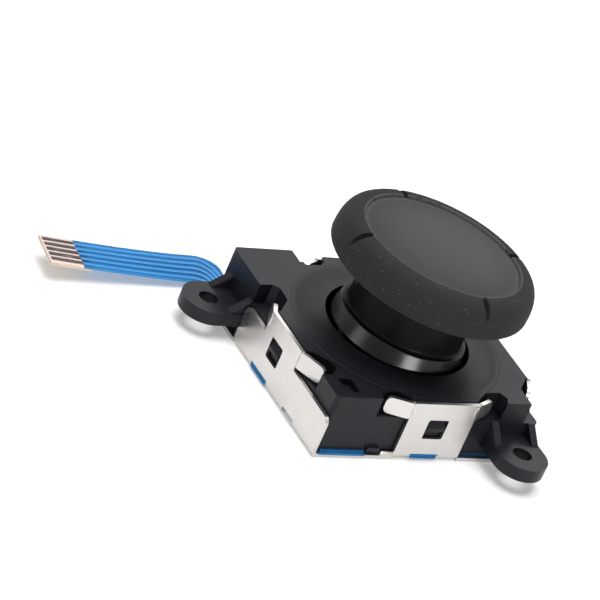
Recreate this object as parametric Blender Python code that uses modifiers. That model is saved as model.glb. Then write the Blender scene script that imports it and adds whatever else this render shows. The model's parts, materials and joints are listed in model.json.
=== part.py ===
"""A low sliding-contact thumb stick module for a hand-held controller.

Frame: the origin is on the underside of the steel base plate, below the stick's centre. X points
right along the front wall, Y points back and Z points up. The stick is built upright about its
pivot and then leans to the right, as it does in the picture it was modelled from.
"""

import math

import bmesh
import bpy
from mathutils import Matrix, Vector

MM = 0.001

# Clearances
SEAT_GAP = 0.03 * MM
SLIDE_GAP = 0.12 * MM
SWEEP_GAP = 0.12 * MM
PRINT_GAP = 0.01 * MM
OVERLAP = 0.1 * MM

# Case: distances from the stick's axis to each wall
CASE_LEFT = 9.05 * MM
CASE_RIGHT = 8.95 * MM
CASE_FRONT = 8.05 * MM
CASE_BACK = 9.10 * MM
CASE_TOP = 5.00 * MM
CASE_CORNER_RADIUS = 0.35 * MM
CASE_WALL = 1.10 * MM
BACK_BLOCK_STEP = 0.62 * MM
BACK_BLOCK_END = -4.05 * MM
BACK_NOTCH_END = -1.95 * MM
BACK_NOTCH_DEPTH = 0.80 * MM
DOME_RADIUS = 8.00 * MM
DOME_RISE = 0.32 * MM
CORNER_STEP_HEIGHT = 3.32 * MM
CORNER_STEP_WIDTH = 1.35 * MM
CORNER_STEP_LENGTH = 1.40 * MM
TOP_POCKET_DEPTH = 0.50 * MM
FOOT_BLOCK_LEFT = -4.90 * MM
FOOT_BLOCK_RIGHT = -3.85 * MM
FOOT_BLOCK_TOP = 0.85 * MM

# Screw ears
EAR_RADIUS = 2.00 * MM
EAR_HOLE_RADIUS = 0.74 * MM
EAR_TOP = 2.30 * MM
EAR_THICKNESS = 1.05 * MM
EAR_REACH = 2.33 * MM
EAR_INSET = 2.05 * MM
EAR_SHIFT = 0.20 * MM
GUSSET_PLACE = 1.60 * MM
GUSSET_WIDTH = 0.55 * MM
GUSSET_REACH = 1.45 * MM
GUSSET_RISE = 1.12 * MM

# Base plate and its four upright walls
PLATE_THICKNESS = 0.30 * MM
PLATE_GAP = 0.08 * MM
WALL_HIGH_TOP = 4.95 * MM
BACK_WALL_TOP = 4.70 * MM
WALL_LOW_TOP = 3.30 * MM
WALL_CORNER_RADIUS = 0.55 * MM
WALL_BEND_RADIUS = 0.45 * MM
WALL_FLANGE = 1.20 * MM
WINDOW_WIDTH = 1.70 * MM
WINDOW_LOW = 1.90 * MM
WINDOW_HIGH = 3.55 * MM
WINDOW_CORNER_RADIUS = 0.16 * MM
LATCH_START = 0.42
FINGER_LOW = 3.55 * MM
FINGER_DROP = 0.07 * MM
FINGER_CORNER_RADIUS = 0.42 * MM
BEND_SLOT_DEPTH = 0.55 * MM

# Printed film with its tail
FILM_THICKNESS = 0.12 * MM
FILM_INSET = 0.10 * MM
FILM_TAB_REACH = 0.25 * MM
FILM_TAB_END = -5.00 * MM
FLAP_MARGIN = 0.08 * MM
FLAP_STAND = 0.04 * MM
TAIL_FRONT = 10.45 * MM
TAIL_WIDTH = 4.10 * MM
TAIL_RIGHT = -6.85 * MM
TAIL_NECK_WIDTH = 2.10 * MM
TAIL_TIP = -21.60 * MM
TAIL_BEND_RADIUS = 2.00 * MM
TAIL_LIFT = 1.15 * MM
CONTACT_COUNT = 5
CONTACT_LENGTH = 2.70 * MM
CONTACT_WIDTH = 0.34 * MM
CONTACT_THICKNESS = 0.03 * MM
STIFFENER_LENGTH = 3.40 * MM
STIFFENER_THICKNESS = 0.15 * MM

# Sensing strips, snap dome and plunger
STRIP_LENGTH = 2.00 * MM
STRIP_WIDTH = 0.70 * MM
STRIP_SPACING = 1.20 * MM
STRIP_THICKNESS = 0.03 * MM
SNAP_RADIUS = 2.00 * MM
SNAP_RISE = 0.42 * MM
SNAP_SHEET = 0.06 * MM
PLUNGER_RADIUS = 1.50 * MM
PLUNGER_THICKNESS = 0.32 * MM
PRESS_TRAVEL = 0.25 * MM

# Sliders
SLIDER_WIDTH = 4.40 * MM
SLIDER_THICKNESS = 0.45 * MM
SLIDER_END_WIDTH = 3.60 * MM
SLIDER_SHOULDER = 3.40 * MM
X_SLIDER_LENGTH = 12.0 * MM
Y_SLIDER_LENGTH = 11.0 * MM
SLIDER_SLOT_WIDTH = 2.10 * MM
SLIDER_SLOT_LENGTH = 3.40 * MM
RUNNER_WIDTH = 0.45 * MM
RUNNER_LENGTH = 0.60 * MM
WIPER_SHEET = 0.08 * MM
WIPER_WIDTH = 1.80 * MM
WIPER_SLIT = 0.40 * MM
WIPER_FOOT = 0.70 * MM
WIPER_REACH = 2.00 * MM
TOE_INSET = 0.80 * MM

# Stick: radii and heights above the origin when it stands upright
PIVOT_HEIGHT = 3.80 * MM
TILT_LIMIT = math.radians(15)
LEAN = math.radians(4.5)
CAP_RADIUS = 7.75 * MM
CAP_LOW = 9.45 * MM
CAP_THICKNESS = 3.38 * MM
CAP_CREASE_RADIUS = 6.08 * MM
CAP_CREASE_STEP = 0.16 * MM
RIM_FULLNESS = 0.72
CAP_NOTCH_WIDTH = 0.30 * MM
CAP_NOTCH_DEPTH = 0.16 * MM
CAP_NOTCH_LENGTH = 1.40 * MM
CAP_NOTCH_COUNT = 4
NECK_RADIUS = 4.50 * MM
COLLAR_RADIUS = 5.22 * MM
COLLAR_LOW = 4.96 * MM
COLLAR_BAND_TOP = 5.90 * MM
COLLAR_TOP = 6.25 * MM
COLLAR_WALL = 0.90 * MM
SKIRT_ROOF = 6.80 * MM
SHAFT_RADIUS = 1.20 * MM
FOOT_RADIUS = 0.80 * MM
FOOT_START = 2.95 * MM
SOCKET_RADIUS = 2.60 * MM

# Cradle, pin, ring and spring
CRADLE_RADIUS = 2.35 * MM
CRADLE_BORE = 1.50 * MM
CRADLE_HALF_HEIGHT = 0.40 * MM
TRUNNION_RADIUS = 0.30 * MM
TRUNNION_REACH = 3.50 * MM
POST_INNER = 2.85 * MM
POST_OUTER = 3.60 * MM
POST_HALF_WIDTH = 0.80 * MM
POST_TOP_ABOVE_PIVOT = 0.15 * MM
PIN_RADIUS = 0.28 * MM
PIN_CLEARANCE = 0.04 * MM
RING_RADIUS = 2.40 * MM
RING_THICKNESS = 0.25 * MM
RING_ABOVE_PIVOT = 1.22 * MM
SPRING_WIRE_RADIUS = 0.15 * MM
SPRING_RADIUS = 1.90 * MM
SPRING_TURNS = 3

ROUND_STEPS = 72
SMALL_STEPS = 32

# Heights of the stack, from the plate up
FILM_LOW = PLATE_THICKNESS + SEAT_GAP
FILM_TOP = FILM_LOW + FILM_THICKNESS
CASE_LOW = FILM_TOP + SEAT_GAP
SNAP_LOW = FILM_TOP + SEAT_GAP
SNAP_TOP = SNAP_LOW + SNAP_RISE
PLUNGER_LOW = SNAP_TOP + SEAT_GAP
PLUNGER_TOP = PLUNGER_LOW + PLUNGER_THICKNESS
FOOT_LOW = PLUNGER_TOP + SEAT_GAP
X_SLIDER_LOW = PLUNGER_TOP + SLIDE_GAP
Y_SLIDER_LOW = X_SLIDER_LOW + SLIDER_THICKNESS + SLIDE_GAP
Y_SLIDER_TOP = Y_SLIDER_LOW + SLIDER_THICKNESS
SLIDER_ARM = {
    "x": PIVOT_HEIGHT - X_SLIDER_LOW - SLIDER_THICKNESS / 2,
    "y": PIVOT_HEIGHT - Y_SLIDER_LOW - SLIDER_THICKNESS / 2,
}
CAVITY_FLOOR = Y_SLIDER_TOP + SWEEP_GAP / 2
SWEEP_RADIUS = math.hypot(COLLAR_RADIUS, COLLAR_BAND_TOP - PIVOT_HEIGHT) + SWEEP_GAP

CAP_RIM_HEIGHT = CAP_LOW + CAP_THICKNESS
CAP_WIDEST_HEIGHT = CAP_LOW + CAP_THICKNESS * 0.32
CAP_DISH_DEPTH = CAP_THICKNESS * 0.22
SOCKET_DEPTH = CAP_THICKNESS / 2

PLATE_OUTSET = PLATE_GAP + PLATE_THICKNESS

# Colours, roughness and metallic value of each material
LOOKS = {
    "case_plastic": ((0.018, 0.018, 0.020), 0.38, 0.0),
    "stick_plastic": ((0.014, 0.014, 0.015), 0.22, 0.0),
    "cap_rubber": ((0.020, 0.019, 0.018), 0.62, 0.0),
    "slider_plastic": ((0.72, 0.71, 0.68), 0.45, 0.0),
    "steel": ((0.62, 0.60, 0.57), 0.28, 1.0),
    "spring_steel": ((0.55, 0.55, 0.55), 0.25, 1.0),
    "bronze": ((0.66, 0.42, 0.22), 0.30, 1.0),
    "film": ((0.025, 0.19, 0.55), 0.30, 0.0),
    "stiffener": ((0.55, 0.42, 0.30), 0.45, 0.0),
    "contact": ((0.10, 0.075, 0.06), 0.45, 0.3),
    "carbon": ((0.012, 0.012, 0.012), 0.55, 0.0),
}


def clear_scene():
    for old in list(bpy.data.objects):
        bpy.data.objects.remove(old, do_unlink=True)


def add_collection(name, hidden=False):
    collection = bpy.data.collections.new(name)
    bpy.context.scene.collection.children.link(collection)
    collection.hide_render = hidden
    return collection


def make_material(name):
    colour, roughness, metallic = LOOKS[name]
    material = bpy.data.materials.new(name)
    material.use_nodes = True
    shader = material.node_tree.nodes["Principled BSDF"]
    shader.inputs["Base Color"].default_value = (*colour, 1.0)
    shader.inputs["Roughness"].default_value = roughness
    shader.inputs["Metallic"].default_value = metallic
    return material


clear_scene()
PARTS = add_collection("thumb_stick_module")
CUTTERS = add_collection("cutters", hidden=True)
MATERIALS = {name: make_material(name) for name in LOOKS}


def place(mesh, name, look=None, smooth=False, sharp_angle=35):
    """Puts a mesh in the scene: as a part when it has a look, otherwise as a hidden tool."""
    obj = bpy.data.objects.new(name, mesh)
    if look:
        PARTS.objects.link(obj)
        mesh.materials.clear()
        mesh.materials.append(MATERIALS[look])
    else:
        CUTTERS.objects.link(obj)
        obj.hide_render = True
        obj.display_type = "WIRE"
    if smooth:
        mesh.shade_smooth()
        mesh.set_sharp_from_angle(angle=math.radians(sharp_angle))
    return obj


def finish_bmesh(bm, name):
    bmesh.ops.recalc_face_normals(bm, faces=bm.faces)
    mesh = bpy.data.meshes.new(name)
    bm.to_mesh(mesh)
    bm.free()
    return mesh


def block_mesh(name, low, high):
    """A box between two corners."""
    low, high = Vector(low), Vector(high)
    bm = bmesh.new()
    bmesh.ops.create_cube(bm, size=1.0)
    bmesh.ops.scale(bm, vec=high - low, verts=bm.verts)
    bmesh.ops.translate(bm, vec=(high + low) / 2, verts=bm.verts)
    return finish_bmesh(bm, name)


def rod_mesh(name, radius, length, axis="Z", steps=SMALL_STEPS):
    """A cylinder centred on the origin, along the named axis."""
    bm = bmesh.new()
    bmesh.ops.create_cone(
        bm, cap_ends=True, segments=steps, radius1=radius, radius2=radius, depth=length
    )
    turn = {"X": ("Y", 90), "Y": ("X", 90), "Z": ("Z", 0)}[axis]
    bmesh.ops.rotate(bm, verts=bm.verts, matrix=Matrix.Rotation(math.radians(turn[1]), 3, turn[0]))
    return finish_bmesh(bm, name)


def outline_mesh(name, points, low, high):
    """A flat outline in X and Y, filled and raised from one height to another."""
    bm = bmesh.new()
    lower = [bm.verts.new((x, y, low)) for x, y in points]
    upper = [bm.verts.new((x, y, high)) for x, y in points]
    bm.faces.new(lower)
    bm.faces.new(upper)
    for i in range(len(points)):
        bm.faces.new((lower[i - 1], lower[i], upper[i], upper[i - 1]))
    bmesh.ops.remove_doubles(bm, verts=bm.verts, dist=1e-7)
    return finish_bmesh(bm, name)


def turned(name, profile, look=None, steps=ROUND_STEPS):
    """Turns a profile of (radius, height) points, listed from the top down its outer side."""
    bm = bmesh.new()
    verts = [bm.verts.new((radius, 0, height)) for radius, height in profile]
    closed = profile[0][0] > 0 or profile[-1][0] > 0
    pairs = list(zip(verts, verts[1:])) + ([(verts[-1], verts[0])] if closed else [])
    for pair in pairs:
        bm.edges.new(pair)
    mesh = bpy.data.meshes.new(name)
    bm.to_mesh(mesh)
    bm.free()
    obj = place(mesh, name, look)
    screw = obj.modifiers.new("turn", "SCREW")
    screw.steps = steps
    screw.render_steps = steps
    screw.use_merge_vertices = True
    screw.merge_threshold = 1e-6
    screw.use_smooth_shade = True
    return obj


def transformed(mesh, matrix):
    """Moves a mesh's own points, and turns its faces outwards again if the matrix mirrors it."""
    mesh.transform(matrix)
    if matrix.determinant() < 0:
        mesh.flip_normals()
    return mesh


def add_boolean(target, tool, operation):
    modifier = target.modifiers.new(f"{operation.lower()} {tool.name}", "BOOLEAN")
    modifier.operation = operation
    modifier.solver = "EXACT"
    modifier.object = tool


def cut(target, tool):
    add_boolean(target, tool, "DIFFERENCE")


def join(target, tool):
    add_boolean(target, tool, "UNION")


def arc(centre, radius, start, end, steps=8):
    """Points along a circle between two angles in degrees, both ends included."""
    angles = [math.radians(start + (end - start) * i / steps) for i in range(steps + 1)]
    return [(centre[0] + radius * math.cos(a), centre[1] + radius * math.sin(a)) for a in angles]


def rounded_rectangle(x_low, x_high, y_low, y_high, radius, steps=4):
    corners = [
        ((x_high - radius, y_low + radius), -90),
        ((x_high - radius, y_high - radius), 0),
        ((x_low + radius, y_high - radius), 90),
        ((x_low + radius, y_low + radius), 180),
    ]
    return [point for centre, start in corners for point in arc(centre, radius, start, start + 90, steps)]


def empty(name, location, rotation=(0, 0, 0), parent=None):
    """A parent that marks a joint's axis."""
    obj = bpy.data.objects.new(name, None)
    obj.empty_display_size = 2 * MM
    obj.location = location
    obj.rotation_euler = rotation
    obj.parent = parent
    PARTS.objects.link(obj)
    return obj


# Each side of the case: the direction along it, the direction into it, and how far out it lies
SIDES = {
    "front": (Vector((1, 0, 0)), Vector((0, 1, 0)), CASE_FRONT),
    "left": (Vector((0, 1, 0)), Vector((1, 0, 0)), CASE_LEFT),
    "right": (Vector((0, 1, 0)), Vector((-1, 0, 0)), CASE_RIGHT),
    "back": (Vector((1, 0, 0)), Vector((0, -1, 0)), CASE_BACK),
}


def side_matrix(side, outset=0.0):
    """From (along the side, up, into the case) to the model, starting on the side's outer face."""
    along, inward, distance = SIDES[side]
    matrix = Matrix.Identity(4)
    matrix.col[0][:3] = along
    matrix.col[1][:3] = (0, 0, 1)
    matrix.col[2][:3] = inward
    matrix.col[3][:3] = -inward * (distance + outset)
    return matrix


# Every upright wall: its top, where its high stretch starts and ends along its side, its low
# stretches as (start, end), and its fingers as (root, direction, length, bend in degrees)
WALLS = {
    "left": {
        "top": WALL_HIGH_TOP,
        "high": (-2.80 * MM, 2.00 * MM),
        "low": [(-CASE_FRONT - PLATE_OUTSET, -2.80 * MM), (2.00 * MM, 5.00 * MM)],
        "fingers": [(-2.80 * MM, -1, 2.25 * MM, 26), (2.00 * MM, 1, 1.60 * MM, 28)],
    },
    "front": {
        "top": WALL_HIGH_TOP,
        "high": (-2.65 * MM, 2.95 * MM),
        "low": [],
        "fingers": [(-2.65 * MM, -1, 2.10 * MM, 22), (2.95 * MM, 1, 1.90 * MM, 26)],
    },
    "right": {
        "top": WALL_HIGH_TOP,
        "high": (-4.90 * MM, 2.65 * MM),
        "low": [(2.65 * MM, 7.60 * MM)],
        "fingers": [(-4.90 * MM, -1, 1.70 * MM, 26)],
    },
    "back": {
        "top": BACK_WALL_TOP,
        "high": (-1.95 * MM, 3.15 * MM),
        "low": [(3.15 * MM, 7.40 * MM)],
        "fingers": [(-1.95 * MM, -1, 1.45 * MM, 26)],
    },
}
BEND_SLOTS = {
    "left": [(-5.00 * MM, -3.30 * MM), (-0.50 * MM, 2.00 * MM)],
    "front": [(-1.20 * MM, 1.15 * MM)],
    "right": [(-0.95 * MM, 0.95 * MM)],
    "back": [(-0.95 * MM, 0.95 * MM)],
}

# The slots that a folded flap of the film fills
FLAP_SLOTS = [("left", 1), ("front", 0)]

# The case's notches round the steel fingers, seen from above, as (along the side, into the case) points
FINGER_NOTCHES = {
    "left": [
        [(-5.45, 0.00), (-5.45, 0.90), (-4.60, 1.70), (-3.85, 1.50), (-2.75, 0.50), (-2.70, 0.00)],
        [(1.95, 0.00), (1.95, 0.20), (3.40, 1.50), (4.80, 1.55), (5.20, 1.10), (5.10, 0.00)],
    ],
    "front": [
        [(-5.20, 0.00), (-5.10, 0.60), (-4.50, 1.00), (-3.40, 1.00), (-2.80, 0.50), (-2.55, 0.00)],
        [(2.85, 0.00), (3.25, 0.40), (4.20, 1.20), (5.45, 1.25), (5.80, 0.60), (5.45, 0.00)],
    ],
    "right": [[(-7.60, 0.00), (-7.50, 1.30), (-6.20, 1.30), (-4.85, 0.10), (-4.80, 0.00)]],
    "back": [[(-3.75, 0.00), (-3.75, 1.10), (-2.40, 1.10), (-1.75, 0.50), (-1.70, 0.00)]],
}


def wall_outline(start, end, top, round_start, round_end):
    """An upright rectangle, down past the floor, with one or both of its top corners rounded."""
    radius = WALL_CORNER_RADIUS
    low = -PLATE_THICKNESS
    points = [(start, low), (end, low)]
    points += arc((end - radius, top - radius), radius, 0, 90, 5) if round_end else [(end, top)]
    points += arc((start + radius, top - radius), radius, 90, 180, 5) if round_start else [(start, top)]
    return points


def bent_sheet_mesh(start, end, top):
    """The floor's edge bent up into a wall: a section of (into the case, up), drawn along a side."""
    outer, inner = WALL_BEND_RADIUS, WALL_BEND_RADIUS - PLATE_THICKNESS + 2 * PRINT_GAP
    low, high = PRINT_GAP, PLATE_THICKNESS - PRINT_GAP
    centre = (outer, outer + PRINT_GAP)
    section = [(WALL_FLANGE, low)]
    section += arc(centre, outer, 270, 180, 6)
    section += [(0, top), (PLATE_THICKNESS, top)]
    section += arc(centre, inner, 180, 270, 4)
    section += [(WALL_FLANGE, high)]
    mesh = outline_mesh("bent_sheet", section, start, end)
    # From the section's own (in, up, along) to the side's (along, up, in)
    return transformed(mesh, Matrix(((0, 0, 1, 0), (0, 1, 0, 0), (1, 0, 0, 0), (0, 0, 0, 1))))


def wall_tool(side, number, start, end, top, round_start, round_end):
    """One stretch of upright wall: the bent sheet, kept only inside the stretch's outline."""
    matrix = side_matrix(side, PLATE_OUTSET)
    sheet = transformed(bent_sheet_mesh(start - OVERLAP, end + OVERLAP, top + OVERLAP), matrix)
    wall = place(sheet, f"wall_{side}_{number}")
    points = wall_outline(start, end, top, round_start, round_end)
    outline = outline_mesh("outline", points, -OVERLAP, 2 * WALL_FLANGE)
    add_boolean(wall, place(transformed(outline, matrix), f"wall_outline_{side}_{number}"), "INTERSECT")
    return wall


def finger_tool(side, number, root, direction, length, bend):
    """A strip that goes on from the wall's end, bent into the case about its root."""
    high = WALLS[side]["top"] - FINGER_DROP
    outline = rounded_rectangle(-2 * OVERLAP, length, FINGER_LOW, high, FINGER_CORNER_RADIUS)
    half = PLATE_THICKNESS / 2
    mesh = outline_mesh("finger", outline, -half, half)
    turn = Matrix.Rotation(-math.radians(bend), 4, "Y")
    mirror = Matrix.Diagonal((direction, 1, 1, 1))
    to_root = Matrix.Translation((root - direction * OVERLAP, 0, half + PRINT_GAP))
    matrix = side_matrix(side, PLATE_OUTSET) @ to_root @ mirror @ turn
    return place(transformed(mesh, matrix), f"finger_{side}_{number}")


def wall_stretches(wall):
    """Each stretch of a side as (start, end, top, round start, round end); low ones run into the high one."""
    high_start, high_end = wall["high"]
    yield (high_start, high_end, wall["top"], False, False)
    for start, end in wall["low"]:
        before = end == high_start
        start -= 0 if before else OVERLAP
        end += OVERLAP if before else 0
        yield (start, end, WALL_LOW_TOP, before, not before)


def make_base_plate():
    left, right = -CASE_LEFT - PLATE_OUTSET, CASE_RIGHT + PLATE_OUTSET
    front, back = -CASE_FRONT - PLATE_OUTSET, CASE_BACK + PLATE_OUTSET
    floor = rounded_rectangle(left, right, front, back, CASE_CORNER_RADIUS)
    plate = place(outline_mesh("base_plate", floor, 0, PLATE_THICKNESS), "base_plate", "steel")
    for side, wall in WALLS.items():
        matrix = side_matrix(side, PLATE_OUTSET)
        stretches = list(wall_stretches(wall))
        start = min(stretch[0] for stretch in stretches)
        end = max(stretch[1] for stretch in stretches)
        edge_top = (end, PLATE_THICKNESS, WALL_BEND_RADIUS + OVERLAP)
        edge = block_mesh("edge", (start, -OVERLAP, -OVERLAP), edge_top)
        cut(plate, place(transformed(edge, matrix), f"floor_edge_{side}"))
        for number, stretch in enumerate(stretches):
            join(plate, wall_tool(side, number, *stretch))
        for number, finger in enumerate(wall["fingers"]):
            join(plate, finger_tool(side, number, *finger))
        half = WINDOW_WIDTH / 2
        opening = rounded_rectangle(-half, half, WINDOW_LOW, WINDOW_HIGH, WINDOW_CORNER_RADIUS)
        window = outline_mesh("window", opening, -PLATE_THICKNESS, 2 * PLATE_THICKNESS)
        cut(plate, place(transformed(window, matrix), f"window_{side}"))
        for number, (start, end) in enumerate(BEND_SLOTS[side]):
            slot = block_mesh(
                "slot",
                (start, -PLATE_THICKNESS, -PLATE_THICKNESS),
                (end, BEND_SLOT_DEPTH, BEND_SLOT_DEPTH),
            )
            cut(plate, place(transformed(slot, matrix), f"bend_slot_{side}_{number}"))
    return plate


def case_outline():
    """The case seen from above: a square with a notched back and a deeper block at its left."""
    radius = CASE_CORNER_RADIUS
    back_block = CASE_BACK + BACK_BLOCK_STEP
    notch = CASE_BACK - BACK_NOTCH_DEPTH
    points = arc((CASE_RIGHT - radius, -CASE_FRONT + radius), radius, -90, 0, 4)
    points += arc((CASE_RIGHT - radius, CASE_BACK - radius), radius, 0, 90, 4)
    points += [(BACK_NOTCH_END, CASE_BACK), (BACK_NOTCH_END, notch)]
    points += [(BACK_BLOCK_END, notch), (BACK_BLOCK_END, back_block)]
    points += arc((-CASE_LEFT + radius, back_block - radius), radius, 90, 180, 4)
    points += arc((-CASE_LEFT + radius, -CASE_FRONT + radius), radius, 180, 270, 4)
    return points


def ear_outline():
    """A screw ear that stands out along +X from a wall at X = 0, with its hole's centre on Y = 0."""
    half = EAR_RADIUS
    return [(-OVERLAP * 3, -half), *arc((EAR_REACH, 0), half, -90, 90, 20), (-OVERLAP * 3, half)]


def gusset_mesh(middle):
    """A sloping rib between the ear's top and the wall, this far from the ear's middle line."""
    root = -2 * OVERLAP
    section = [
        (root, EAR_TOP - OVERLAP),
        (GUSSET_REACH, EAR_TOP - OVERLAP),
        (GUSSET_REACH, EAR_TOP + OVERLAP / 2),
        (0, EAR_TOP + GUSSET_RISE),
        (root, EAR_TOP + GUSSET_RISE),
    ]
    mesh = outline_mesh("gusset", section, middle - GUSSET_WIDTH / 2, middle + GUSSET_WIDTH / 2)
    # From the section's own (out, up, across) to the ear's (out, across, up)
    return transformed(mesh, Matrix(((1, 0, 0, 0), (0, 0, 1, 0), (0, 1, 0, 0), (0, 0, 0, 1))))


def ear_places():
    """For each ear, its name, the wall point it grows from and its turn about Z."""
    back_left = (-CASE_LEFT, CASE_BACK - EAR_INSET)
    front_right = (CASE_RIGHT - EAR_INSET - EAR_SHIFT, -CASE_FRONT)
    return [("back_left", back_left, 180), ("front_right", front_right, -90)]


def dome_profile():
    """The low dome on the case's top, as a shallow arc from its foot up to its lip."""
    lip = math.sqrt(SWEEP_RADIUS**2 - (CASE_TOP + DOME_RISE - PIVOT_HEIGHT) ** 2)
    inner = lip - 2 * OVERLAP
    points = [(inner, CASE_TOP + DOME_RISE)]
    for i in range(7):
        share = i / 6
        radius = lip + (DOME_RADIUS - lip) * share
        points.append((radius, CASE_TOP + DOME_RISE * math.cos(share * math.pi / 2) ** 0.8))
    points += [(DOME_RADIUS, CASE_TOP - OVERLAP * 2), (inner, CASE_TOP - OVERLAP * 2)]
    return points


def cavity_profile():
    """The round space that the stick's skirt sweeps: a ball about the pivot, cut flat below."""
    top = CASE_TOP + DOME_RISE + OVERLAP * 3
    low_angle = math.asin((CAVITY_FLOOR - PIVOT_HEIGHT) / SWEEP_RADIUS)
    high_angle = math.asin((top - PIVOT_HEIGHT) / SWEEP_RADIUS)
    steps = 8
    points = [(0, top)]
    for i in range(steps + 1):
        angle = high_angle + (low_angle - high_angle) * i / steps
        radius = SWEEP_RADIUS * math.cos(angle)
        points.append((radius, PIVOT_HEIGHT + SWEEP_RADIUS * math.sin(angle)))
    points.append((0, CAVITY_FLOOR))
    return points


def slider_travel(axis):
    return SLIDER_ARM[axis] * math.tan(TILT_LIMIT)


def make_case():
    case = place(outline_mesh("housing", case_outline(), CASE_LOW, CASE_TOP), "housing", "case_plastic")
    for name, (x, y), turn in ear_places():
        matrix = Matrix.Translation((x, y, 0)) @ Matrix.Rotation(math.radians(turn), 4, "Z")
        ear = outline_mesh("ear", ear_outline(), EAR_TOP - EAR_THICKNESS, EAR_TOP)
        join(case, place(transformed(ear, matrix), f"ear_{name}"))
        hole = rod_mesh("hole", EAR_HOLE_RADIUS, EAR_THICKNESS * 3)
        centre = matrix @ Matrix.Translation((EAR_REACH, 0, EAR_TOP - EAR_THICKNESS / 2))
        cut(case, place(transformed(hole, centre), f"ear_hole_{name}"))
        for number, side in enumerate((-1, 1)):
            join(case, place(transformed(gusset_mesh(side * GUSSET_PLACE), matrix), f"gusset_{name}_{number}"))
    join(case, turned("dome", dome_profile()))
    cut(case, turned("cavity", cavity_profile()))
    add_latches(case)
    add_top_features(case)
    add_channels(case)
    add_posts(case)
    return case


def add_latches(case):
    """A wedge on each wall that snaps into the steel wall's window."""
    reach = PLATE_OUTSET + OVERLAP / 2
    margin = SLIDE_GAP
    for side in SIDES:
        low = WINDOW_LOW + LATCH_START * (WINDOW_HIGH - WINDOW_LOW)
        high = WINDOW_HIGH - margin
        root = -OVERLAP * 2
        shoulder = low + 0.3 * (high - low)
        wedge = [(root, low), (reach, low), (reach, shoulder), (0, high), (root, high)]
        width = WINDOW_WIDTH - 2 * margin
        mesh = outline_mesh("latch", wedge, -width / 2, width / 2)
        # From the wedge's own (out, up, along) to the side's (along, up, in)
        swap = Matrix(((0, 0, 1, 0), (0, 1, 0, 0), (-1, 0, 0, 0), (0, 0, 0, 1)))
        join(case, place(transformed(mesh, side_matrix(side) @ swap), f"latch_{side}"))


def add_top_features(case):
    """Notches that clear the steel fingers, the low corner step, a top pocket and a wall rib."""
    for side, notches in FINGER_NOTCHES.items():
        for number, notch_points in enumerate(notches):
            points = [(along * MM, inward * MM) for along, inward in notch_points]
            outline = [(points[-1][0], -2 * OVERLAP), (points[0][0], -2 * OVERLAP), *points]
            notch = outline_mesh("notch", outline, 0, CASE_TOP)
            # From the notch's own (along, in, up) to the side's (along, up, in)
            swap = Matrix(((1, 0, 0, 0), (0, 0, 1, FINGER_LOW - SWEEP_GAP), (0, 1, 0, 0), (0, 0, 0, 1)))
            cut(case, place(transformed(notch, side_matrix(side) @ swap), f"finger_notch_{side}_{number}"))
    step = block_mesh(
        "corner_step",
        (CASE_RIGHT - CORNER_STEP_WIDTH, -CASE_FRONT - OVERLAP, CORNER_STEP_HEIGHT),
        (CASE_RIGHT + OVERLAP, -CASE_FRONT + CORNER_STEP_LENGTH, CASE_TOP + OVERLAP),
    )
    cut(case, place(step, "corner_step"))
    pocket = rounded_rectangle(
        -CASE_LEFT + CASE_WALL,
        -CASE_LEFT + 2 * CASE_WALL,
        -CASE_FRONT + 0.6 * CASE_WALL,
        -CASE_FRONT + 2 * CASE_WALL,
        CASE_CORNER_RADIUS / 2,
    )
    pocket_mesh = outline_mesh("top_pocket", pocket, CASE_TOP - TOP_POCKET_DEPTH, CASE_TOP + OVERLAP)
    cut(case, place(pocket_mesh, "top_pocket"))
    foot_block = block_mesh(
        "foot_block",
        (FOOT_BLOCK_LEFT, -CASE_FRONT - FILM_TAB_REACH, CASE_LOW + PRINT_GAP),
        (FOOT_BLOCK_RIGHT, -CASE_FRONT + OVERLAP, FOOT_BLOCK_TOP),
    )
    join(case, place(foot_block, "foot_block"))


def add_channels(case):
    """The two crossed channels that guide the sliders, open below."""
    half = SLIDER_WIDTH / 2 + SLIDE_GAP
    x_reach = X_SLIDER_LENGTH / 2 + slider_travel("x") + SLIDE_GAP
    y_reach = Y_SLIDER_LENGTH / 2 + slider_travel("y") + SLIDE_GAP
    low = CASE_LOW - OVERLAP
    x_top = X_SLIDER_LOW + SLIDER_THICKNESS + SLIDE_GAP / 2
    y_top = Y_SLIDER_TOP + SLIDE_GAP
    cut(case, place(block_mesh("x_channel", (-x_reach, -half, low), (x_reach, half, x_top)), "x_channel"))
    cut(case, place(block_mesh("y_channel", (-half, -y_reach, low), (half, y_reach, y_top)), "y_channel"))


def add_posts(case):
    """Two open-topped bearing posts for the cradle's trunnions."""
    slot_half = TRUNNION_RADIUS + SEAT_GAP
    slot_low = PIVOT_HEIGHT - PRESS_TRAVEL - slot_half - SEAT_GAP
    top = PIVOT_HEIGHT + POST_TOP_ABOVE_PIVOT
    for name, side in (("left", -1), ("right", 1)):
        ends = sorted((side * POST_INNER, side * POST_OUTER))
        post = block_mesh(
            "post",
            (ends[0], -POST_HALF_WIDTH, CAVITY_FLOOR - OVERLAP * 2),
            (ends[1], POST_HALF_WIDTH, top),
        )
        join(case, place(post, f"post_{name}"))
        slot = block_mesh(
            "slot",
            (ends[0] - OVERLAP, -slot_half, slot_low),
            (ends[1] + OVERLAP, slot_half, top + OVERLAP),
        )
        cut(case, place(slot, f"post_slot_{name}"))


def tail_height(x):
    """How far the tail has curled up at a place along X."""
    start = -CASE_LEFT
    share = max(0.0, (start - x) / (start - TAIL_TIP))
    return TAIL_LIFT * share**1.4


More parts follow.
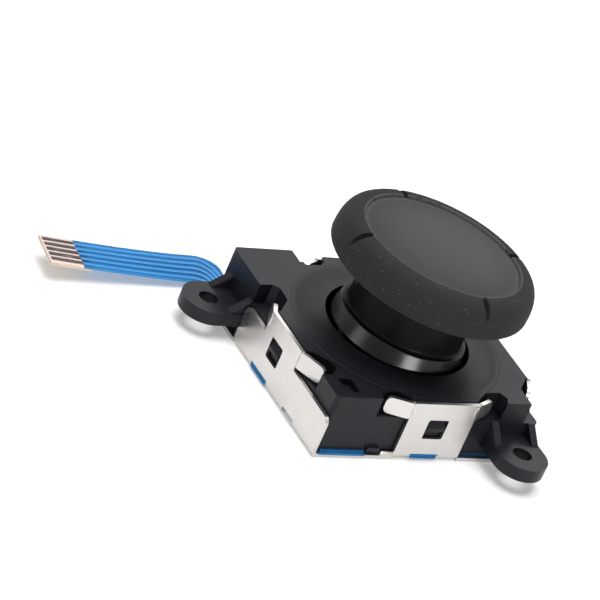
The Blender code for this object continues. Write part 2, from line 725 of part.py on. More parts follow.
def bent_tail_mesh(name, outline, low, high):
    """A flat outline, cut across every half millimetre along the tail and lifted along its curl."""
    mesh = outline_mesh(name, outline, low, high)
    bm = bmesh.new()
    bm.from_mesh(mesh)
    bpy.data.meshes.remove(mesh)
    step = 0.8 * MM
    for i in range(int((-CASE_LEFT - TAIL_TIP) / step)):
        geometry = [*bm.verts, *bm.edges, *bm.faces]
        place_x = -CASE_LEFT - (i + 0.5) * step
        bmesh.ops.bisect_plane(bm, geom=geometry, plane_co=(place_x, 0, 0), plane_no=(1, 0, 0), dist=1e-8)
    for vert in bm.verts:
        vert.co.z += tail_height(vert.co.x)
    bmesh.ops.triangulate(bm, faces=bm.faces)
    return finish_bmesh(bm, name)


def film_outline():
    """The film's square body, the neck that leaves it at the back, and the tail that turns left."""
    right, left = CASE_RIGHT - FILM_INSET, -CASE_LEFT + FILM_INSET
    front, back = -CASE_FRONT + FILM_INSET, CASE_BACK - FILM_INSET
    tail_back = TAIL_FRONT + TAIL_WIDTH
    outer = TAIL_BEND_RADIUS
    inner = TAIL_BEND_RADIUS / 4
    neck_left = TAIL_RIGHT - TAIL_NECK_WIDTH
    points = rounded_rectangle(left, right, front, back, CASE_CORNER_RADIUS)[:10]
    points += [(TAIL_RIGHT, back)]
    points += arc((TAIL_RIGHT - outer, tail_back - outer), outer, 0, 90, 10)
    points += [(TAIL_TIP, tail_back), (TAIL_TIP, TAIL_FRONT)]
    points += arc((neck_left - inner, TAIL_FRONT - inner), inner, 90, 0, 4)
    points += [(neck_left, back), (left, back - CASE_CORNER_RADIUS)]
    points += rounded_rectangle(left, right, front, back, CASE_CORNER_RADIUS)[15:]
    tab = front - FILM_TAB_REACH
    points += [(left + CASE_CORNER_RADIUS, tab), (FILM_TAB_END, tab), (FILM_TAB_END, front)]
    return points


def make_film():
    film = place(bent_tail_mesh("flex_circuit", film_outline(), FILM_LOW, FILM_TOP), "flex_circuit", "film")
    for side, number in FLAP_SLOTS:
        start, end = BEND_SLOTS[side][number]
        start, end = start + FLAP_MARGIN, end - FLAP_MARGIN
        matrix = side_matrix(side, PLATE_OUTSET)
        inner = PLATE_OUTSET + FILM_INSET + OVERLAP
        tongue = block_mesh("tongue", (start, FILM_LOW, -FLAP_STAND), (end, FILM_TOP, inner))
        join(film, place(transformed(tongue, matrix), f"film_tongue_{side}"))
        flap = block_mesh("flap", (start, PRINT_GAP, -FLAP_STAND), (end, FILM_TOP, FILM_THICKNESS - FLAP_STAND))
        join(film, place(transformed(flap, matrix), f"film_flap_{side}"))
    tail_back = TAIL_FRONT + TAIL_WIDTH
    stiffener = [
        (TAIL_TIP, TAIL_FRONT),
        (TAIL_TIP + STIFFENER_LENGTH, TAIL_FRONT),
        (TAIL_TIP + STIFFENER_LENGTH, tail_back),
        (TAIL_TIP, tail_back),
    ]
    top = FILM_LOW - PRINT_GAP
    mesh = bent_tail_mesh("tail_stiffener", stiffener, top - STIFFENER_THICKNESS, top)
    place(mesh, "tail_stiffener", "stiffener")
    pitch = TAIL_WIDTH / (CONTACT_COUNT + 0.5)
    low = FILM_TOP + PRINT_GAP
    for number in range(CONTACT_COUNT):
        centre = TAIL_FRONT + TAIL_WIDTH / 2 + (number - (CONTACT_COUNT - 1) / 2) * pitch
        half = CONTACT_WIDTH / 2
        start = TAIL_TIP + SLIDE_GAP
        outline = rounded_rectangle(start, start + CONTACT_LENGTH, centre - half, centre + half, half / 4, 1)
        mesh = bent_tail_mesh("contact", outline, low, low + CONTACT_THICKNESS)
        place(mesh, f"tail_contact_{number + 1}", "contact")


def toe_place(slider_length):
    """Where a wiper's toe touches its strips when the slider is in the middle."""
    return slider_length / 2 - TOE_INSET


def make_strips():
    """The carbon strip and its collector below each wiper, printed on the film."""
    low = FILM_TOP + PRINT_GAP
    high = low + STRIP_THICKNESS
    for axis, turn, length in (("x", 0, X_SLIDER_LENGTH), ("y", 90, Y_SLIDER_LENGTH)):
        toe = toe_place(length)
        for name, side in (("carbon", 1), ("collector", -1)):
            centre = side * STRIP_SPACING / 2
            outline = rounded_rectangle(
                toe - STRIP_LENGTH / 2,
                toe + STRIP_LENGTH / 2,
                centre - STRIP_WIDTH / 2,
                centre + STRIP_WIDTH / 2,
                STRIP_WIDTH / 4,
                2,
            )
            mesh = outline_mesh("strip", outline, low, high)
            strip = place(mesh, f"{axis}_{name}_strip", "carbon" if side > 0 else "contact")
            strip.rotation_euler.z = math.radians(turn)


def shell_profile(radius, rise, sheet, low, steps=5):
    """A thin domed sheet as a closed profile, from its top centre out, and back underneath."""
    ball = (radius**2 + rise**2) / (2 * rise)
    centre = low + rise - ball

    def height(r, ball_radius):
        return centre + math.sqrt(ball_radius**2 - r**2)

    outer = [(radius * i / steps, height(radius * i / steps, ball)) for i in range(steps + 1)]
    inner_edge = radius - sheet
    inner_radii = [inner_edge * i / steps for i in range(steps, -1, -1)]
    inner = [(radius, height(radius, ball - sheet)) for radius in inner_radii]
    inner = [(r, max(z, low)) for r, z in inner if z > low - sheet]
    return outer + inner


def make_click_parts():
    turned("click_dome", shell_profile(SNAP_RADIUS, SNAP_RISE, SNAP_SHEET, SNAP_LOW), "spring_steel", 32)
    edge = PLUNGER_THICKNESS / 4
    profile = [
        (0, PLUNGER_TOP),
        (PLUNGER_RADIUS - edge, PLUNGER_TOP),
        (PLUNGER_RADIUS, PLUNGER_TOP - edge),
        (PLUNGER_RADIUS, PLUNGER_LOW + edge),
        (PLUNGER_RADIUS - edge, PLUNGER_LOW),
        (0, PLUNGER_LOW),
    ]
    turned("click_plunger", profile, "slider_plastic", 48)


def slider_outline(length):
    """A bar along X with a wide middle and narrower ends."""
    half, end, wide, narrow = length / 2, SLIDER_SHOULDER, SLIDER_WIDTH / 2, SLIDER_END_WIDTH / 2
    slope = wide - narrow
    quarter = [(half, narrow), (end + slope, narrow), (end, wide)]
    back = quarter + [(-x, y) for x, y in reversed(quarter)]
    return back + [(-x, -y) for x, y in back]


def make_slider(axis, length, low, travel_offset):
    """A slider that moves along X in its own frame. The Y slider is the same piece turned."""
    name = f"{axis}_slider"
    turn = 0 if axis == "x" else math.radians(90)
    joint = empty(f"{name}_guide", (0, 0, 0), (0, 0, turn))
    plate = outline_mesh(name, slider_outline(length), low, low + SLIDER_THICKNESS)
    slider = place(plate, name, "slider_plastic")
    slider.parent = joint
    slider.location.x = travel_offset
    slot = rounded_rectangle(
        -SLIDER_SLOT_WIDTH / 2,
        SLIDER_SLOT_WIDTH / 2,
        -SLIDER_SLOT_LENGTH / 2,
        SLIDER_SLOT_LENGTH / 2,
        SLIDER_SLOT_WIDTH / 4,
    )
    slot_mesh = outline_mesh("slot", slot, low - OVERLAP, low + SLIDER_THICKNESS + OVERLAP)
    tools = [(place(slot_mesh, f"{name}_slot"), cut)]
    for number, (x_side, y_side) in enumerate(((-1, -1), (-1, 1), (1, -1), (1, 1))):
        x_centre = x_side * (length / 2 - RUNNER_LENGTH)
        y_centre = y_side * (SLIDER_END_WIDTH / 2 - RUNNER_WIDTH / 2 - OVERLAP / 2)
        runner = block_mesh(
            "runner",
            (x_centre - RUNNER_LENGTH / 2, y_centre - RUNNER_WIDTH / 2, FILM_TOP + SEAT_GAP),
            (x_centre + RUNNER_LENGTH / 2, y_centre + RUNNER_WIDTH / 2, low + OVERLAP),
        )
        tools.append((place(runner, f"{name}_runner_{number}"), join))
    for tool, action in tools:
        tool.parent = joint
        tool.location.x = travel_offset
        action(slider, tool)
    make_wiper(axis, length, low, joint, travel_offset)


def make_wiper(axis, slider_length, slider_low, joint, travel_offset):
    """A spring-metal blade below the slider, slit into two fingers that touch the two strips."""
    name = f"{axis}_wiper"
    top = slider_low - PRINT_GAP
    toe_top = FILM_TOP + PRINT_GAP + STRIP_THICKNESS + SEAT_GAP + WIPER_SHEET
    toe = toe_place(slider_length)
    root = toe - WIPER_REACH
    bend = root + WIPER_FOOT
    upper = [(root, top)]
    for i in range(9):
        share = i / 8
        ease = (1 - math.cos(share * math.pi)) / 2
        upper.append((bend + (toe - bend) * share, top + (toe_top - top) * ease))
    upper.append((toe + 2 * WIPER_SHEET, toe_top + WIPER_SHEET))
    lower = []
    for i, (x, z) in enumerate(upper):
        before, after = upper[max(i - 1, 0)], upper[min(i + 1, len(upper) - 1)]
        along = Vector((after[0] - before[0], after[1] - before[1])).normalized()
        lower.append((x + along.y * WIPER_SHEET, z - along.x * WIPER_SHEET))
    half = WIPER_WIDTH / 2
    blade = outline_mesh("blade", upper + list(reversed(lower)), -half, half)
    # From the blade's own (along, up, across) to the slider's (along, across, up)
    turn = Matrix(((1, 0, 0, 0), (0, 0, -1, 0), (0, 1, 0, 0), (0, 0, 0, 1)))
    wiper = place(transformed(blade, turn), name, "bronze")
    slit = block_mesh(
        "slit",
        (bend, -WIPER_SLIT / 2, FILM_LOW),
        (toe + STRIP_LENGTH, WIPER_SLIT / 2, slider_low + OVERLAP),
    )
    tool = place(slit, f"{name}_slit")
    cut(wiper, tool)
    for obj in (wiper, tool):
        obj.parent = joint
        obj.location.x = travel_offset


def upright(height):
    """A height above the origin, as a height above the pivot."""
    return height - PIVOT_HEIGHT


def cap_profile():
    """The rubber cap: a dished top inside a crease, a full round rim and a flat underside."""
    rim = upright(CAP_RIM_HEIGHT)
    widest = upright(CAP_WIDEST_HEIGHT)
    low = upright(CAP_LOW)
    dish_edge = rim - CAP_CREASE_STEP
    points = [(0, rim - CAP_DISH_DEPTH)]
    for i in range(1, 9):
        share = i / 8
        radius = (CAP_CREASE_RADIUS - OVERLAP) * share
        points.append((radius, dish_edge - (CAP_DISH_DEPTH - CAP_CREASE_STEP) * (1 - share**2.6)))
    points.append((CAP_CREASE_RADIUS, rim))
    for i in range(1, 11):
        angle = math.radians(90 * (1 - i / 10))
        radius = CAP_CREASE_RADIUS + (CAP_RADIUS - CAP_CREASE_RADIUS) * math.cos(angle) ** RIM_FULLNESS
        points.append((radius, widest + (rim - widest) * math.sin(angle) ** RIM_FULLNESS))
    under_start = NECK_RADIUS + 4 * OVERLAP
    for i in range(1, 9):
        angle = math.radians(90 * i / 8)
        radius = under_start + (CAP_RADIUS - under_start) * math.cos(angle)
        points.append((radius, widest - (widest - low) * math.sin(angle)))
    socket = SOCKET_RADIUS + SEAT_GAP
    points += [(socket, low), (socket, low + SOCKET_DEPTH + SEAT_GAP), (0, low + SOCKET_DEPTH + SEAT_GAP)]
    return points


def make_cap(stick):
    cap = turned("thumb_cap", cap_profile(), "cap_rubber")
    cap.parent = stick
    middle = CAP_CREASE_RADIUS + CAP_NOTCH_LENGTH / 2
    top = upright(CAP_RIM_HEIGHT)
    for number in range(CAP_NOTCH_COUNT):
        turn = 2 * math.pi * number / CAP_NOTCH_COUNT
        notch = block_mesh(
            "notch",
            (middle - CAP_NOTCH_LENGTH / 2, -CAP_NOTCH_WIDTH / 2, top - CAP_NOTCH_DEPTH - CAP_NOTCH_LENGTH / 3),
            (middle + CAP_NOTCH_LENGTH / 2, CAP_NOTCH_WIDTH / 2, top + OVERLAP),
        )
        tool = place(notch, f"cap_notch_{number}")
        tool.parent = stick
        tool.rotation_euler.z = turn
        cut(cap, tool)


def stem_profile():
    """The stick's one-piece core: socket peg, neck, collar, hollow skirt, shaft and ball foot."""
    seat = upright(CAP_LOW) - SEAT_GAP
    roof = upright(SKIRT_ROOF)
    inner = COLLAR_RADIUS - COLLAR_WALL
    foot_ball = PIVOT_HEIGHT - FOOT_LOW
    neck_inner = NECK_RADIUS - COLLAR_WALL
    points = [
        (0, seat + SOCKET_DEPTH),
        (SOCKET_RADIUS, seat + SOCKET_DEPTH),
        (SOCKET_RADIUS, seat),
        (NECK_RADIUS, seat),
        (NECK_RADIUS, upright(COLLAR_TOP)),
        (COLLAR_RADIUS - (COLLAR_TOP - COLLAR_BAND_TOP), upright(COLLAR_TOP)),
        (COLLAR_RADIUS, upright(COLLAR_BAND_TOP)),
        (COLLAR_RADIUS, upright(COLLAR_LOW)),
        (inner, upright(COLLAR_LOW)),
        (inner, upright(COLLAR_BAND_TOP) - COLLAR_WALL / 2),
        (neck_inner, upright(COLLAR_TOP)),
        (neck_inner, roof),
        (SHAFT_RADIUS, roof),
        (SHAFT_RADIUS, upright(FOOT_START) + OVERLAP * 2),
        (FOOT_RADIUS, upright(FOOT_START)),
    ]
    ball_angle = math.asin(FOOT_RADIUS / foot_ball)
    for i in range(5):
        angle = ball_angle * (1 - i / 4)
        points.append((foot_ball * math.sin(angle), -foot_ball * math.cos(angle)))
    return points


def make_stem(stick):
    stem = turned("stick_stem", stem_profile(), "stick_plastic")
    stem.parent = stick
    bore = place(rod_mesh("pin_bore", PIN_RADIUS + PIN_CLEARANCE, 2 * CRADLE_RADIUS, "Y", 24), "stem_pin_bore")
    bore.parent = stick
    cut(stem, bore)


def make_pin(stick):
    pin = place(
        rod_mesh("pivot_pin", PIN_RADIUS, 2 * CRADLE_RADIUS - 2 * OVERLAP, "Y", 24),
        "pivot_pin",
        "spring_steel",
        smooth=True,
    )
    pin.parent = stick


def make_ring_and_spring(stick):
    low = RING_ABOVE_PIVOT
    bore = SHAFT_RADIUS + SEAT_GAP * 2
    high = low + RING_THICKNESS
    profile = [(RING_RADIUS, high), (RING_RADIUS, low), (bore, low), (bore, high)]
    ring = turned("pressure_ring", profile, "slider_plastic", 48)
    ring.parent = stick
    start = low + RING_THICKNESS + SEAT_GAP + SPRING_WIRE_RADIUS
    end = upright(SKIRT_ROOF) - SEAT_GAP - SPRING_WIRE_RADIUS
    steps = 24 * SPRING_TURNS
    curve = bpy.data.curves.new("return_spring", "CURVE")
    curve.dimensions = "3D"
    curve.bevel_depth = SPRING_WIRE_RADIUS
    curve.bevel_resolution = 1
    curve.use_fill_caps = True
    spline = curve.splines.new("POLY")
    spline.points.add(steps)
    for i, point in enumerate(spline.points):
        angle = 2 * math.pi * SPRING_TURNS * i / steps
        height = start + (end - start) * i / steps
        point.co = (SPRING_RADIUS * math.cos(angle), SPRING_RADIUS * math.sin(angle), height, 1)
    spring = bpy.data.objects.new("return_spring", curve)
    curve.materials.append(MATERIALS["spring_steel"])
    PARTS.objects.link(spring)
    spring.parent = stick


def make_cradle():
    """The gimbal ring that tips about X on its trunnions and carries the stick's pin along Y."""
    axis = empty("tilt_x_axis", (0, 0, PIVOT_HEIGHT))
    height = CRADLE_HALF_HEIGHT
    profile = [(CRADLE_RADIUS, height), (CRADLE_RADIUS, -height), (CRADLE_BORE, -height), (CRADLE_BORE, height)]
    cradle = turned("tilt_cradle", profile, "stick_plastic", 48)
    cradle.parent = axis
    bore = place(rod_mesh("bore", PIN_RADIUS + PIN_CLEARANCE, 3 * CRADLE_RADIUS, "Y", 24), "cradle_pin_bore")
    bore.parent = axis
    cut(cradle, bore)
    middle = (CRADLE_RADIUS + CRADLE_BORE) / 2
    for name, side in (("left", -1), ("right", 1)):
        length = TRUNNION_REACH - middle
        trunnion = place(rod_mesh("trunnion", TRUNNION_RADIUS, length, "X", 24), f"trunnion_{name}")
        trunnion.parent = axis
        trunnion.location.x = side * (middle + length / 2)
        join(cradle, trunnion)
    return axis


def make_stick():
    """Everything that leans with the stick, about the pin's axis along Y."""
    axis = make_cradle()
    stick = empty("tilt_y_axis", (0, 0, 0), (0, LEAN, 0), axis)
    make_stem(stick)
    make_cap(stick)
    make_pin(stick)
    make_ring_and_spring(stick)


def main():
    make_base_plate()
    make_case()
    make_film()
    make_strips()
    make_click_parts()
    make_slider("x", X_SLIDER_LENGTH, X_SLIDER_LOW, -SLIDER_ARM["x"] * math.tan(LEAN))
    make_slider("y", Y_SLIDER_LENGTH, Y_SLIDER_LOW, 0.0)
    make_stick()


main()
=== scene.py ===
"""Dresses the controller analog stick: moulded edges, finishes, printed runners, light and camera."""

import json
import math

import bmesh
import bpy
from bpy.props import FloatProperty, FloatVectorProperty, IntProperty, PointerProperty
from mathutils import Euler, Matrix, Vector
from mathutils.bvhtree import BVHTree


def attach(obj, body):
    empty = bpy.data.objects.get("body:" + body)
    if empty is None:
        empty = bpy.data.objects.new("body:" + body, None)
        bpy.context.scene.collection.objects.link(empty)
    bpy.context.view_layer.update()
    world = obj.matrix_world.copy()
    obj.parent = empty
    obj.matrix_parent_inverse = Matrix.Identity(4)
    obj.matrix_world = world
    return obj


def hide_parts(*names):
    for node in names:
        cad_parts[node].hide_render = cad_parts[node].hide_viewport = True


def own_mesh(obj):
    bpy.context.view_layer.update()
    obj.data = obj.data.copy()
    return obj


bl_info = {
    "name": "Analog stick dresser",
    "version": (1, 0, 0),
    "blender": (4, 5, 0),
    "location": "3D View > Sidebar > Analog stick",
    "description": "Finishes the pieces of a controller analog stick around its fixed frame",
    "category": "Object",
}

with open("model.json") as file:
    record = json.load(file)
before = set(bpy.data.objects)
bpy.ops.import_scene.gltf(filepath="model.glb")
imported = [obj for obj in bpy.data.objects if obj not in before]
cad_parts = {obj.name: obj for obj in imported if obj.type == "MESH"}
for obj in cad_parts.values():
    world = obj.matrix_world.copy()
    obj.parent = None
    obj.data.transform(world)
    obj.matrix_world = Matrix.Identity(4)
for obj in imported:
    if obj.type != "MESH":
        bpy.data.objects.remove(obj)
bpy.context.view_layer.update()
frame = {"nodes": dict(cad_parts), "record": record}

MM = 0.001
MICRON = 1e-6
LONGEST = 30.0 * MM
BODY_OF = {node: body for body, nodes in frame["record"]["behaviour"]["bodies"].items() for node in nodes}

# Where the camera stands, as it was solved from the case's straight edges
CAMERA_PLACE = (-0.175759816, -0.209658922, 0.153302306)
CAMERA_TURN = (59.207506843, -20.825700953, -26.498891927)
CAMERA_LENS = 260.3137725

# Width of the camera's sensor in millimetres, and the nearest distance it shows in metres
CAMERA_SENSOR = 36.0
CAMERA_NEAR = 0.01

# Place, target, size and power in watts of each soft lamp
LAMPS = {
    "key": ((-0.02, 0.03, 0.44), (0, 0, 0), (0.40, 0.40), 3.0),
    "front window": ((0.00, -0.36, 0.014), (0, 0, 0.006), (0.14, 0.02), 0.62),
    "left window": ((-0.38, 0.01, 0.014), (0, 0, 0.006), (0.12, 0.02), 0.18),
    "back window": ((0.25, 0.26, 0.27), (0, 0, 0.012), (0.14, 0.14), 0.13),
}
# Level of the surround as it lights, its share at the horizon as a mirror image shows it, and the
# heights between which that share rises to the whole
SURROUND_LEVEL = 0.32
HORIZON_SHARE = 0.10
HORIZON_HEIGHTS = (0.05, 0.60)
# Share of plain white in the floor where it is seen directly
FLOOR_WHITE = 0.30
FLOOR_REACH = 1.5

# Axis that the stick leans about
PIVOT_HEIGHT = 3.80 * MM
LEAN = math.radians(4.5)

# Case, and the lowest and highest corners of the steel's small curl and of the film's folded edge
CASE_LEFT = -9.05 * MM
CASE_TOP = 5.00 * MM
DOME_RADIUS = 8.00 * MM
CURL_BOX = ((-3.70 * MM, -8.43 * MM, 0.22 * MM), (-2.60 * MM, -8.14 * MM, 0.60 * MM))
CURL_EDGE = 0.10 * MM
FOLD_BOX = ((-8.88 * MM, -8.47 * MM, 0.23 * MM), (-5.02 * MM, -8.35 * MM, 0.37 * MM))
FOLD_EDGE = 0.02 * MM
# Bead round the dome's foot: its section in widths and heights, and how the case under it is found
BEAD_SECTION = ((-0.5, -0.3), (-0.5, 0.0), (-0.3, 0.7), (0.0, 1.0), (0.3, 0.7), (0.5, 0.0), (0.5, -0.3))
BEAD_STEPS = 240
BEAD_PROBE = 0.02 * MM
PROBE_START = 20 * MM

# Angle in degrees past which an edge is rounded
ROUNDED_ANGLE = 32.0
# Edge rounding of thin sheets, contacts and printed tracks, each in one step
SHEET_EDGE = 0.012 * MM
CONTACT_EDGE = 0.008 * MM
TRACK_EDGE = 0.004 * MM

# Stick and cap
NECK_RADIUS = 4.50 * MM
NECK_FILLET = 0.26 * MM
COLLAR_CREASE = 6.18 * MM - PIVOT_HEIGHT
# The collar's rings, from (radius, height) in the CAD to where they stand in the finished piece
COLLAR_MOVES = {
    (NECK_RADIUS, 6.25 * MM): (NECK_RADIUS, 6.18 * MM),
    (4.87 * MM, 6.25 * MM): (4.90 * MM, 6.18 * MM),
    (5.22 * MM, 5.90 * MM): (4.94 * MM, 6.12 * MM),
    (5.22 * MM, 4.96 * MM): (5.25 * MM, 4.96 * MM),
}
RING_NEAR = 0.03 * MM
SOCKET_RADIUS = 2.60 * MM
SEAT_GAP = 0.03 * MM
# Cap: power of the radius that its dish rises with, and steps over the dish, the rim and the underside
DISH_POWER = 2.6
DISH_STEPS = 24
RIM_STEPS = 24
UNDER_STEPS = 16
# Where the dish ends before its crease and where the rim starts after it
CREASE_FOOT = 0.10 * MM
CREASE_LIP = 0.08 * MM
WIDEST_SHARE = 0.32
RIM_FULLNESS = 0.72
NOTCH_COUNT = 4
NOTCH_REACH = 1.80 * MM
# Where the cap has points beside a notch, in half notch widths, and how many steps lie between notches
NOTCH_STATIONS = (-2.2, -1.5, -1.15, -0.85, -0.5, 0.0, 0.5, 0.85, 1.15, 1.5, 2.2)
NOTCH_STEPS = 56
SPRING_RADIUS = 1.90 * MM
SPRING_WIRE = 0.15 * MM

# Film: its tail in the CAD, and then what the finished tail changes
FILM_TOP = 0.45 * MM
TAIL_TIP = -21.60 * MM
TAIL_FRONT = 10.45 * MM
TAIL_WIDTH = 4.10 * MM
TAIL_LIFT = 1.15 * MM
TAIL_CURL = 1.4
CONTACT_COUNT = 5
CONTACT_LENGTH = 2.70 * MM
CONTACT_PITCH = TAIL_WIDTH / (CONTACT_COUNT + 0.5)
CONTACT_ROOT = TAIL_TIP + CONTACT_LENGTH + 0.15 * MM
NARROW_WIDTH = 3.30 * MM
NARROW_FRONT = 11.35 * MM
NARROW_BACK = NARROW_FRONT + NARROW_WIDTH
NECK_START = 8.70 * MM
TAIL_ARCH = 0.24 * MM
TIP_REACH = 0.28 * MM
TIP_SKEW = 0.36 * MM
TIP_MARGIN = 0.14 * MM
BARE_SHORTER = 0.26 * MM
COVER_LAP = 0.30 * MM
CONTACT_BROADER = 1.22
FLAP_LOW = 0.19 * MM
# Powers that turn the film's colour into that of its lighter edges and of the light that passes it
PALER_EDGE_TINT = 0.6
THIN_TINT = 0.44
# Runners round the bend: middle of the neck, their spacing in it, the bend's size and where they end
NECK_MIDDLE = -7.90 * MM
NECK_PITCH = 0.36 * MM
BEND_REACH = 1.5 * MM
BEND_END = 9.9 * MM
RUNNER_END = 9.2 * MM


def length_property(label, text, millimetres):
    """A length given in millimetres and kept in metres."""
    return FloatProperty(
        name=label,
        description=text,
        default=millimetres * MM,
        min=0.0,
        max=LONGEST,
        precision=6,
        subtype="DISTANCE",
        unit="LENGTH",
    )


def colour_property(label, text, colour):
    return FloatVectorProperty(
        name=label, description=text, default=colour, min=0.0, max=1.0, size=3, subtype="COLOR"
    )


class StickSizes(bpy.types.PropertyGroup):
    """Sizes of the dressed pieces."""

    case_edge: length_property("Case edge", "Rounding of the moulded case's edges", 0.07)
    steel_edge: length_property("Steel edge", "Rounding of the stamped sheet's edges", 0.045)
    stem_edge: length_property("Stem edge", "Rounding of the stick's edges", 0.05)
    small_edge: length_property("Small edge", "Rounding of the small inner pieces", 0.03)
    cap_radius: length_property("Cap radius", "Widest radius of the rubber cap", 7.75)
    cap_low: length_property("Cap underside", "Height of the cap's underside, upright", 9.45)
    cap_thickness: length_property("Cap thickness", "Height of the cap's rim over its underside", 3.38)
    crease_radius: length_property("Crease radius", "Radius of the step between dish and rim", 6.08)
    crease_step: length_property("Crease step", "Height of that step", 0.16)
    dish_depth: length_property("Dish depth", "How far the middle lies below the rim", 0.744)
    notch_width: length_property("Notch width", "Width of the four rim notches", 0.42)
    notch_depth: length_property("Notch depth", "Depth of the four rim notches", 0.52)
    runner_width: length_property("Runner width", "Width of the printed runners on the tail", 0.36)
    runner_height: length_property("Runner height", "How far a printed runner stands up", 0.006)
    foot_width: length_property("Dome foot width", "Width of the fine bead round the dome's foot", 0.16)
    foot_height: length_property("Dome foot height", "Height of that bead", 0.022)
    film_glow: FloatProperty(
        name="Film glow",
        description="Share of the light that passes through the film",
        default=0.78,
        min=0.0,
        max=1.0,
    )
    spring_turns: IntProperty(name="Spring turns", description="Turns of the return spring", default=3, min=1)


class StickColours(bpy.types.PropertyGroup):
    """Colours of the finishes."""

    case: colour_property("Case", "Moulded case", (0.0078, 0.0077, 0.0102))
    stem: colour_property("Stem", "Glossy stick core", (0.005, 0.005, 0.006))
    rubber: colour_property("Rubber", "Thumb cap", (0.0105, 0.0102, 0.0118))
    # This dust colour also paints the highlight along the cap's crease
    dust: colour_property("Dust", "Specks on the cap's rim", (0.13, 0.125, 0.12))
    steel: colour_property("Steel", "Stamped base and walls", (0.60, 0.578, 0.557))
    spring: colour_property("Spring", "Drawn spring wire", (0.55, 0.55, 0.55))
    bronze: colour_property("Bronze", "Wiper blades", (0.66, 0.42, 0.22))
    film: colour_property("Film", "Blue cover of the printed film", (0.020, 0.190, 0.47))
    runner: colour_property("Runners", "Printed runners seen through the cover", (0.020, 0.200, 0.485))
    base_film: colour_property("Bare film", "Uncovered film at the contacts", (0.58, 0.475, 0.445))
    stiffener: colour_property("Stiffener", "Plate under the tail's tip", (0.55, 0.42, 0.30))
    contact: colour_property("Contact", "Printed carbon contacts", (0.050, 0.033, 0.029))
    carbon: colour_property("Carbon", "Printed carbon tracks", (0.012, 0.012, 0.012))
    # Dark grey as painted shade, so the inner mouldings read as the shade in the gap under the collar
    slider: colour_property("Slider", "Dark grey inner mouldings", (0.045, 0.045, 0.048))
    floor: colour_property("Floor", "Pale studio floor", (0.93, 0.93, 0.935))


# Shader building


class Wire:
    """A shader socket that takes part in Python arithmetic."""

    def __init__(self, tree, socket):
        self.tree = tree
        self.socket = socket

    def joined(self, operation, *values):
        """The output of one Math node with these values, wires or numbers, on its inputs."""
        node = self.tree.nodes.new("ShaderNodeMath")
        node.operation = operation
        for place, value in enumerate(values):
            if isinstance(value, Wire):
                self.tree.links.new(value.socket, node.inputs[place])
            else:
                node.inputs[place].default_value = value
        return Wire(self.tree, node.outputs[0])

    def __add__(self, other):
        return self.joined("ADD", self, other)

    __radd__ = __add__

    def __sub__(self, other):
        return self.joined("SUBTRACT", self, other)

    def __rsub__(self, other):
        return self.joined("SUBTRACT", other, self)

    def __mul__(self, other):
        return self.joined("MULTIPLY", self, other)

    __rmul__ = __mul__

    def __pow__(self, other):
        return self.joined("POWER", self, other)

    def largest(self, other):
        return self.joined("MAXIMUM", self, other)

    def step(self, low, high):
        """0 below low and 1 above high, smooth between them. With high under low it runs the other way."""
        node = self.tree.nodes.new("ShaderNodeMapRange")
        node.interpolation_type = "SMOOTHSTEP"
        self.tree.links.new(self.socket, node.inputs["Value"])
        if low < high:
            limits = (low, high, 0.0, 1.0)
        else:
            limits = (high, low, 1.0, 0.0)
        for name, value in zip(("From Min", "From Max", "To Min", "To Max"), limits):
            node.inputs[name].default_value = value
        return Wire(self.tree, node.outputs["Result"])


